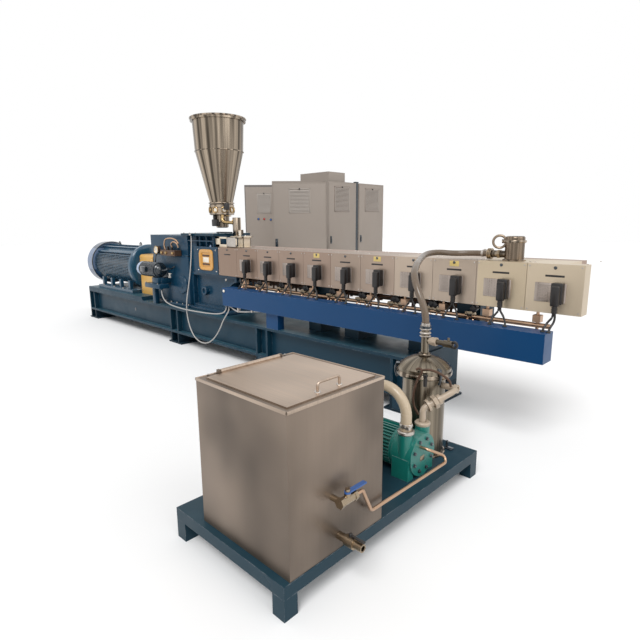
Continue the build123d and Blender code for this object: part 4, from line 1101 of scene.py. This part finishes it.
# The lubricating pump: a bracket, a finned drive with a bright ring and a dome, and a tap
form = make_piece(
    "oil_pump_bracket", "gear_paint",
    slab((-470, -390, 590), (-140, -268, 640), 4), slab((-440, -320, 397), (-380, -272, 592), 3),
    slab((-330, -372, 638), (-200, -288, 708), 6), slab((-300, -330, 640), (-190, -215, 700), 4),
    bar((-160, -355, 592), (-160, -355, 574), 11, 20))
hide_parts("oil_pump")
make_piece("oil_pump_ring", "bright_steel", hoop(
    (-590, OIL_Y, OIL_Z), RIGHT, 66,
    [(-22, -14), (-22, 8), (-12, 14), (12, 14), (22, 8), (22, -14)], 56))
fins = [(x + distance, radius) for x in np.arange(0, 330, 16.0)
        for distance, radius in ((0, 70), (2, 84), (9, 84), (11, 70))]
make_piece("oil_pump_fins", "black_steel",
           turned([(-10, 60), *fins, (345, 60)], (-545, OIL_Y, OIL_Z), RIGHT, 48))
make_piece("oil_pump_dome", "black_steel", turned(
    [(0, 58), (14, 56), (28, 48), (38, 34), (43, 14), (44, 4)], (-215, OIL_Y, OIL_Z), RIGHT, 40))
make_piece("oil_pump_box", "black_steel",
           slab((-460, OIL_Y - 108, 765), (-360, OIL_Y - 78, 830), 8))
make_piece("oil_tap", "white_plastic", bar((-150, -262, 712), (-118, -262, 712), 9, 14),
           slab((-136, -272, 716), (-122, -252, 752), 4),
           slab((-150, -268, 748), (-96, -256, 756), 3))
make_piece("oil_pipe", "black_steel", wire(
    [(-168, OIL_Y, OIL_Z), (-110, OIL_Y, 794), (-84, OIL_Y + 20, 806), (-84, -250, 812),
     (-84, -222, 830)], 9))
make_piece("guard_cable_clip", "zinc", slab((300, -256, 1172), (332, -250, 1188)))

# %% [markdown]
# The window on the lantern housing is a rounded orange frame with two dark bars and a pale bare
# plate. The frame is a hoop whose circle was squared off, so it is worked out as a superellipse:
# x and z are cosine and sine raised to a power below one.

# %% Lantern window
WINDOW_MIDDLE = np.array([520.0, -205.0, 929.0])
WINDOW_SECTION = np.array([(0, -17), (9, -15), (12, -9), (12, 12), (8, 17), (0, 18)], float)
SQUARENESS = 0.36


def squared_hoop(centre, half_x, half_z, section, sides=64):
    """A frame in the plane of the front: a section carried round a superellipse.

    At an angle t the middle line is at a cos(t)^p and b sin(t)^p, signs kept.
    """
    turn = np.linspace(0.0, 2 * np.pi, sides, endpoint=False)
    x, z = (np.sign(wave) * np.abs(wave) ** SQUARENESS for wave in (np.cos(turn), np.sin(turn)))
    out, width = np.broadcast_to(-section[:, 0], (sides, len(section))), section[None, :, 1]
    frame_points = centre + np.stack(
        [(half_x + width) * x[:, None], out, (half_z + width) * z[:, None]], -1)
    return outward(frame_points.reshape(-1, 3), grid_quads(sides, len(section), True))


def window_panel(half_x, half_z, near, far, rounding, z=0.0):
    """A flat panel about the window's middle, from one distance to another before it."""
    return slab(WINDOW_MIDDLE + (-half_x, -far, z - half_z),
                WINDOW_MIDDLE + (half_x, -near, z + half_z), rounding)


make_piece("window_frame", "orange_paint", squared_hoop(WINDOW_MIDDLE, 104, 88, WINDOW_SECTION))
make_piece("window_recess", "orange_paint", window_panel(92, 76, 0, 3, 1.2))
make_piece("window_bars", "brown_steel", *[window_panel(62, 9, 3, 8, 3, z) for z in (-43, 43)])
make_piece("window_plate", "pale_plate", window_panel(50, 26, 3, 6, 1.2))
make_piece("lantern_knob", "bright_steel", turned(
    [(0, 16), (6, 16), (10, 10), (18, 12), (22, 8)], (560, -170, 1060), UP, 24))

# %% [markdown]
# The hopper's rim is a rolled bead, and a second bead covers the joint between cylinder and
# cone. Below it, eight sight glasses look into the feeder's ring. Each glass is a shallow dome
# in a brass rim, turned about an axis that points outwards.

# %% Hopper and feeder fittings
GLASS_Z = 1422.0
make_piece("hopper_beads", "polished_steel", *[
    hoop(HOPPER + (0, 0, z), UP, radius, round_section(bead), sides)
    for z, radius, bead, sides in ((2292, 268, 9, 96), (1985, 237, 5, 96), (1490, 122, 7, 64))])
glass_turn = np.radians((np.arange(8) + 0.5) * 45.0)
rims, glasses = [], []
for turn in glass_turn:
    way = np.array([math.cos(turn), math.sin(turn), 0.0])
    spot = HOPPER + (0, 0, GLASS_Z) + 121 * way
    rims.append(hoop(spot, way, 28, [(-6, -4), (-6, 4), (5, 4), (7, 1), (5, -4)], 32))
    glasses.append(turned([(0, 25), (3, 24), (6, 18), (7, 8), (7.4, 2)], spot - 8 * way, way, 28))
make_piece("sight_rims", "gold_metal", *rims)
make_piece("sight_glasses", "pale_plate", *glasses)
ring_spots = spots_round(HOPPER + (0, 0, 1402), 112, glass_turn + 0.39, (0, 1))
make_piece("feeder_bolts", "black_steel", bolts(ring_spots, DOWN, 7, 10))
make_piece(
    "feeder_elbows", "gold_metal",
    wire([HOPPER + (92, -60, 1372), HOPPER + (96, -66, 1330), HOPPER + (130, -60, 1302),
          HOPPER + (190, -34, 1296), (750, -20, 1296)], 16, 8, 16),
    hoop(HOPPER + (100, 0, 1362), UP, 30, round_section(5), 28),
    hoop((735, 0, 1300), RIGHT, 28, round_section(5), 28))
make_piece(
    "feeder_motor_parts", "black_plastic",
    slab(HOPPER + (-46, -100, 1262), HOPPER + (34, -56, 1330), 8),
    slab(HOPPER + (128, -66, 1420), HOPPER + (168, -20, 1486), 6),
    bar(HOPPER + (-10, -84, 1330), HOPPER + (-10, -84, 1372), 16, 18))
make_piece("feeder_rod", "black_steel", bar((534, -60, 1200), (773, -60, 1200), 7, 14),
           bar((534, -60, 1190), (534, -60, 1206), 11, 14))
make_piece("throat_spout", "pale_plate", bar((884, -48, 1165), (884, -48, 1212), 11, 20),
           hoop((884, -48, 1180), UP, 12, round_section(3), 20))
make_piece("feed_frame_panel", "zinc", slab((838, -176, 1066), (980, -172, 1156)))

# %% [markdown]
# The vacuum side. The vent stack has a clamp, a loop handle and a ribbed union, the condenser
# has toggle clamps, ferrules and looped lines, and its suction line has collars. Clamps and
# collars are hoops, and the looped lines are wires through a few points each.

# %% Vent, hose ends and condenser fittings
SUCTION_RUN = (28, 42, 23)
make_piece(
    "vent_clamp", "polished_steel",
    hoop(VENT + (0, 0, 1172), UP, 57, [(-7, -2), (-7, 5), (-3, 7), (3, 7), (7, 5), (7, -2)], 64),
    slab(VENT + (-72, -22, 1160), VENT + (-50, -2, 1184), 3),
    bar(VENT + (-62, -34, 1172), VENT + (-62, 6, 1172), 5, 12))
make_piece("vent_loop", "vent_steel",
           hoop(VENT + (-76, -40, 1170), (0.35, -0.93, 0.1), 36, round_section(7.5, 14), 48),
           bar(VENT + (-56, -30, 1170), VENT + (-44, -24, 1170), 7, 14))
make_piece("vent_foot_ring", "polished_steel", hoop(
    VENT + (0, 0, 1064), UP, 58, [(-4, -3), (-4, 8), (2, 8), (5, 4), (5, -3)], 64))
make_piece("vent_union", "brass_metal", *[
    hoop((x, -90, 1096), RIGHT, 28, [(-3, -4), (-3, 3), (0, 5), (3, 3), (3, -4)], 32)
    for x in (3440, 3450, 3460)], nut((3500, -90, 1096), RIGHT, 27, 16))
make_piece(
    "hose_clamps", "zinc",
    hoop((3404, -90, 1096), RIGHT, 19.5, strip(7, -1, 2), 32),
    slab((3396, -74, 1106), (3412, -58, 1122), 3),
    hoop(CONDENSER + (0, 0, 792), UP, 19.5, strip(7, -1, 2), 32),
    slab((3536, -935, 784), (3552, -919, 800), 3))

make_piece("condenser_ferrules", "zinc", *[
    hoop(CONDENSER + (0, 0, z), UP, 20, [(-h, -3), (-h, 4), (0, 9), (h, 4), (h, -3)], 40)
    for z, h in ((769, 5), (749, 5), (733, 4))])
for name, finish, z, radius, section, sides in (
        ("hose_end", "black_steel", 779, 19, strip(6, -1, 8), 40),
        ("neck_ring", "polished_steel", 640, 24, round_section(8), 40),
        ("band", "polished_steel", 553, 131,
         [(-12, -3), (-12, 3), (-6, 7), (6, 7), (12, 3), (12, -3)], 96),
        ("base_ring", "polished_steel", 137, 108,
         [(-5, -3), (-5, 9), (1, 9), (5, 3), (5, -3)], 80)):
    make_piece(f"condenser_{name}", finish,
               hoop(CONDENSER + (0, 0, z), UP, radius, section, sides))
make_piece("condenser_tap_body", "pvc_grey",
           turned([(0, 17), (16, 21), (30, 17)], CONDENSER + (26, 0, 712), RIGHT, 28),
           nut(CONDENSER + (48, 0, 712), RIGHT, 22, 18))
make_piece("condenser_tap_lever", "black_plastic",
           slab(CONDENSER + (66, -9, 703), CONDENSER + (150, 9, 721), 7),
           hoop(CONDENSER + (160, 0, 712), BACK, 13, round_section(7), 36))
clamps = []
for turn in np.radians([215.0, 335.0, 95.0]):
    way = np.array([math.cos(turn), math.sin(turn), 0.0])
    foot = CONDENSER + 132 * way
    hook = [foot + out * way + (0, 0, z) for out, z in ((0, 520), (9, 545), (10, 575), (-4, 592))]
    pin = [foot + out * way + (0, 0, 590) for out in (-10, 8)]
    clamps += [wire(hook, 6), bar(*pin, 9, 16)]
make_piece("condenser_clamps", "black_steel", *clamps)
make_piece(
    "condenser_loops", "brown_steel",
    wire([(3560, -1046, 596), (3575, -1040, 604), (3590, -1042, 590), (3572, -1052, 545),
          (3556, -1056, 480), (3556, -1050, 420), (3576, -1040, 372)], 6),
    wire([(3590, -1040, 598), (3628, -1034, 606), (3670, -1006, 588), (3700, -980, 556),
          (3700, -962, 524)], 6))
make_piece(
    "condenser_gauge_tap", "black_plastic", bar((3598, -1010, 548), (3606, -1036, 548), 8, 16),
    bar((3606, -1036, 520), (3606, -1036, 566), 9, 16),
    slab((3596, -1046, 566), (3616, -1028, 578), 3))
make_piece("condenser_foot", "black_steel", slab((3606, -834, 132), (3650, -806, 140)),
           slab((3612, -826, 138), (3622, -814, 176)))
make_piece(
    "suction_collars", "pvc_grey",
    hoop((3622, -1073, 352), UP, 24, [(-10, -6), (-10, 9), (-4, 13), (5, 13), (10, 8), (10, -6)], 40),
    hoop((3636, -1052, 436.5), SUCTION_RUN, 25, strip(6, -4, 6), 36),
    nut((3650, -1031, 448), SUCTION_RUN, 33, 20),
    hoop((3666, -1007, 462), SUCTION_RUN, 16, strip(8, -3, 9), 32),
    hoop((3702, -913, 500), LEFT, 15, strip(9, -3, 6), 32))

# %% [markdown]
# The pump and the skid. The pump's head is closed by a ring of bolts, its ports carry collars
# and metal bands, and the motor has a cable box. The tank has a folded rim, screws on its lugs,
# nuts on its valve and a drain tap's handle. Everything sits on the solids that carry it.

# %% Pump, skid and tank fittings
BAND = [(-9, -1), (-9, 3), (-6, 4.5), (6, 4.5), (9, 3), (9, -1)]
head_turn = np.radians(np.arange(0, 360, 45.0) + 22.5)
head_spots = spots_round(PUMP + (50, 0, 0), 76, head_turn, (1, 2))
make_piece("pump_head_bolts", "black_steel", bolts(head_spots, RIGHT, 9, 10))
make_piece("pump_ribs", "green_paint", *[
    slab((3610, y - 5, 268), (3668, y + 5, 322), 3) for y in PUMP[1] + (-22, 0, 22)])
make_piece("pump_plate", "brass_metal", slab((3671, -1164, 206), (3673, -1128, 230), 0.8))
make_piece("pump_cable_box", "green_paint", slab((3400, -1268, 240), (3490, -1232, 306), 7),
           bar((3445, -1250, 240), (3445, -1250, 222), 12, 16))
make_piece(
    "discharge_bands", "zinc",
    hoop((3622, -1211, 352), UP, 26, [(-10, -4), (-10, 8), (-3, 13), (6, 13), (10, 8), (10, -4)], 40),
    hoop((3622, -1211, 386), UP, 25.5, BAND, 40),
    slab((3640, -1246, 378), (3660, -1228, 394), 3),
    hoop((3360, -1500, 545), BACK, 25.5, BAND, 40))
make_piece("tank_pipe_flange", "tank_steel", hoop(
    (3360, -1543, 545), BACK, 26, [(-5, -2), (-5, 16), (3, 16), (5, 13), (5, -2)], 40))
# The folded rim takes the lid's lighter steel, a painted highlight.
make_piece("tank_rim_fold", "lid_steel_painted_highlight", border((3237, -2043, 712), (3745, -1545, 723), 6, 1))
make_piece("drain_handle", "black_plastic", slab((3790, -1806, 208), (3860, -1794, 214), 3),
           bar((3797, -1800, 200), (3797, -1800, 218), 7, 16))
make_piece("lid_handle_feet", "zinc", *[
    hoop((3688, y, 726.5), UP, 8, [(-1.5, -3), (-1.5, 4), (1.5, 3), (1.5, -3)], 24)
    for y in (-1849, -1739)], body="tank_lid")
make_piece("valve_nuts", "brass_metal", *[
    nut((3788, y, 350), BACK, 20, 14) for y in (-1852, -1780)])

# %% [markdown]
# The cabinets are plain sheet steel, so what makes them read as cabinets is small: a louvred vent with
# a raised frame and a knob, lamps, a lock, a plinth line and narrow seams. A dark sheet just larger
# than each vent is a painted shadow round its frame. Each louvre is a thin slat leaned out at its foot.
# Fittings on a door ride on that door.

# %% Cabinet fittings
DOOR_FACE = -24.0
DOOR_HEADING = 46.2
ROW_FACE = -1148.0
# Each cabinet with a door: its corner, height and width, then its vent's x, z, width and height
DOORED = {
    "1": ((-2842.0, 2885.0, 0.0), 2000.0, 800.0, (233.0, 1474.0, 265.0, 377.0)),
    "2": ((-917.0, 1919.0, 0.0), 1900.0, 810.0, (245.0, 1437.0, 322.0, 356.0)),
}
# Each cabinet of the row: where it starts along Y, then its vent's y, z, width and height
ROW = {
    "3": (3390.0, 3547.0, 1489.0, 389.0, 428.0),
    "4": (4214.0, 4398.0, 1500.0, 416.0, 415.0),
}
LAMPS = (
    ("blue_1", 251, 1371, "blue_plastic"), ("red", 361, 1370, "red_plastic"),
    ("blue_2", 485, 1357, "blue_plastic"),
)


def louvre(width, height, count):
    """A vent at the origin, facing the front: a raised frame and leaning slats."""
    pitch = (height - 40.0) / count
    levels = 20 + pitch * (np.arange(count) + 0.5)
    lip = [(-9.0, -0.42 * pitch), (-9.0, -0.3 * pitch), (-1.0, 0.4 * pitch), (-1.0, 0.3 * pitch)]
    slat = skin([[(x, y, z) for y, z in lip] for x in (18.0, width - 18.0)])
    return joined([border((0, -7, 0), (width, 0, height), 16, 2),
                   repeated(slat, np.outer(levels, UP))])


def on_door(number, name, finish, *shapes):
    """A fitting on a cabinet's door, its shapes given as if the cabinet stood at the origin."""
    placed = [moved(spun(shape, DOOR_HEADING), DOORED[number][0]) for shape in shapes]
    make_piece(f"cabinet_{name}", finish, *placed, body=f"cabinet_door_{number}")


for number, (corner, tall, wide, (x, z, width, height)) in DOORED.items():
    # A dark sheet just larger than the vent: a painted shadow round its frame.
    on_door(number, f"vent_seam_{number}", "brown_steel", slab(
        (x - 5, DOOR_FACE - 2, z - 5), (x + width + 5, DOOR_FACE, z + height + 5), 0.8))
    vent = moved(louvre(width, height, 16), (x, DOOR_FACE, z))
    on_door(number, f"vent_{number}", "cabinet_light", vent)
    knob_place = (x + width / 2, DOOR_FACE - 6, z + height - 8)
    on_door(number, f"knob_{number}", "black_plastic",
            turned([(0, 11), (8, 11), (12, 7)], knob_place, FRONT, 20))
    on_door(number, f"door_edge_{number}", "cabinet_paint", slab(
        (20, DOOR_FACE - 2.5, 40), (wide - 26, DOOR_FACE, tall - 40), 1.2))
    on_door(number, f"lock_{number}", "black_steel",
            slab((34, DOOR_FACE - 10, 940), (74, DOOR_FACE - 2, 1060), 5),
            bar((54, DOOR_FACE - 10, 1020), (54, DOOR_FACE - 20, 1020), 13, 20),
            slab((46, DOOR_FACE - 30, 960), (62, DOOR_FACE - 18, 1030), 5))
for name, x, z, color in LAMPS:
    on_door("1", f"lamp_{name}", color, turned(
        [(0, 17), (8, 17), (13, 13), (16, 7), (17, 2)], (x, DOOR_FACE - 2, z), FRONT, 24))
    on_door("1", f"lamp_ring_{name}", "black_plastic",
            hoop((x, DOOR_FACE - 4, z), FRONT, 19, round_section(3), 28))

plinths = []
for number, (start, y, z, width, height) in ROW.items():
    make_piece(f"cabinet_panel_{number}", "cabinet_paint",
               slab((ROW_FACE, start + 14, 60), (ROW_FACE + 6, start + 731, 1980)))
    # A dark sheet just larger than the vent: a painted shadow round its frame.
    make_piece(f"cabinet_vent_seam_{number}", "brown_steel", slab(
        (ROW_FACE + 4, y - 5, z - 5), (ROW_FACE + 7, y + width + 5, z + height + 5), 1))
    vent = moved(spun(louvre(width, height, 18), 90.0), (ROW_FACE + 6, y, z))
    make_piece(f"cabinet_vent_{number}", "cabinet_light", vent)
    knob_place = (ROW_FACE + 12, y + width / 2, z + height - 8)
    make_piece(f"cabinet_knob_{number}", "black_plastic",
               turned([(0, 13), (8, 13), (12, 8)], knob_place, RIGHT, 20))
    make_piece(f"cabinet_lock_{number}", "black_steel",
               slab((ROW_FACE + 5, start + 40, 930), (ROW_FACE + 16, start + 80, 1060), 5),
               slab((ROW_FACE + 15, start + 50, 950), (ROW_FACE + 28, start + 70, 1030), 5))
    plinths.append(slab((ROW_FACE - 2, start + 4, 2), (ROW_FACE + 3, start + 741, 52)))
make_piece("cabinet_plinths", "black_steel", *plinths)
make_piece("cabinet_post", "black_steel",
           slab((ROW_FACE - 60, 4141, 0), (ROW_FACE - 6, 4208, 2010), 4),
           slab((ROW_FACE - 66, 4136, 2008), (ROW_FACE, 4213, 2024), 4))
make_piece("cabinet_top_panel", "cabinet_paint",
           slab((ROW_FACE - 4, 3398, 2012), (ROW_FACE + 1, 3822, 2150), 1.5))

# %% [markdown]
# The base carries closed covers on its two right-hand legs, and a cable is clipped under the
# tray. The cable is fixed along its length, so it is a tube of this scene rather than a hanging
# cord.

# %% Base fittings
make_piece("leg_covers", "teal_paint", *[
    slab((x - 80, side - 3, 17), (x + 80, side + 3, 119), 1.5)
    for x in (1500.0, 2971.0) for side in (-316.0, 316.0)])
make_piece("base_hole_rim", "black_steel", hoop((-1011, -267, 254), BACK, 17, strip(2, -3, 4), 28),
           turned([(0, 16), (1, 16)], (-1011, -266.5, 254), FRONT, 28))
make_piece("clipped_cable", "cable_grey", wire(
    [(1064, -330, 534), (1100, -331, 520), (1150, -331, 503), (1200, -331, 497),
     (1290, -330, 505), (1400, -328, 521), (1500, -322, 533)], 7))
make_piece("cable_clips", "zinc", *[
    slab((x - 10, -342, z - 9), (x + 10, -318, 534), 3) for x, z in ((1200, 499), (1400, 521))])
make_piece("tray_screw", "pale_plate",
           turned([(0, 13), (4, 13), (9, 7)], (1012, -353, 672), FRONT, 20))
make_piece("pedestal_spot", "zinc",
           turned([(0, 14), (5, 12), (8, 5)], (810, -180, 745), FRONT, 20))
make_piece("rail_pads", "teal_paint", *[
    slab((x - 130, -126, 526), (x + 130, 126, 534)) for x in (2052, 3332)])
print("pieces:", len(pieces))
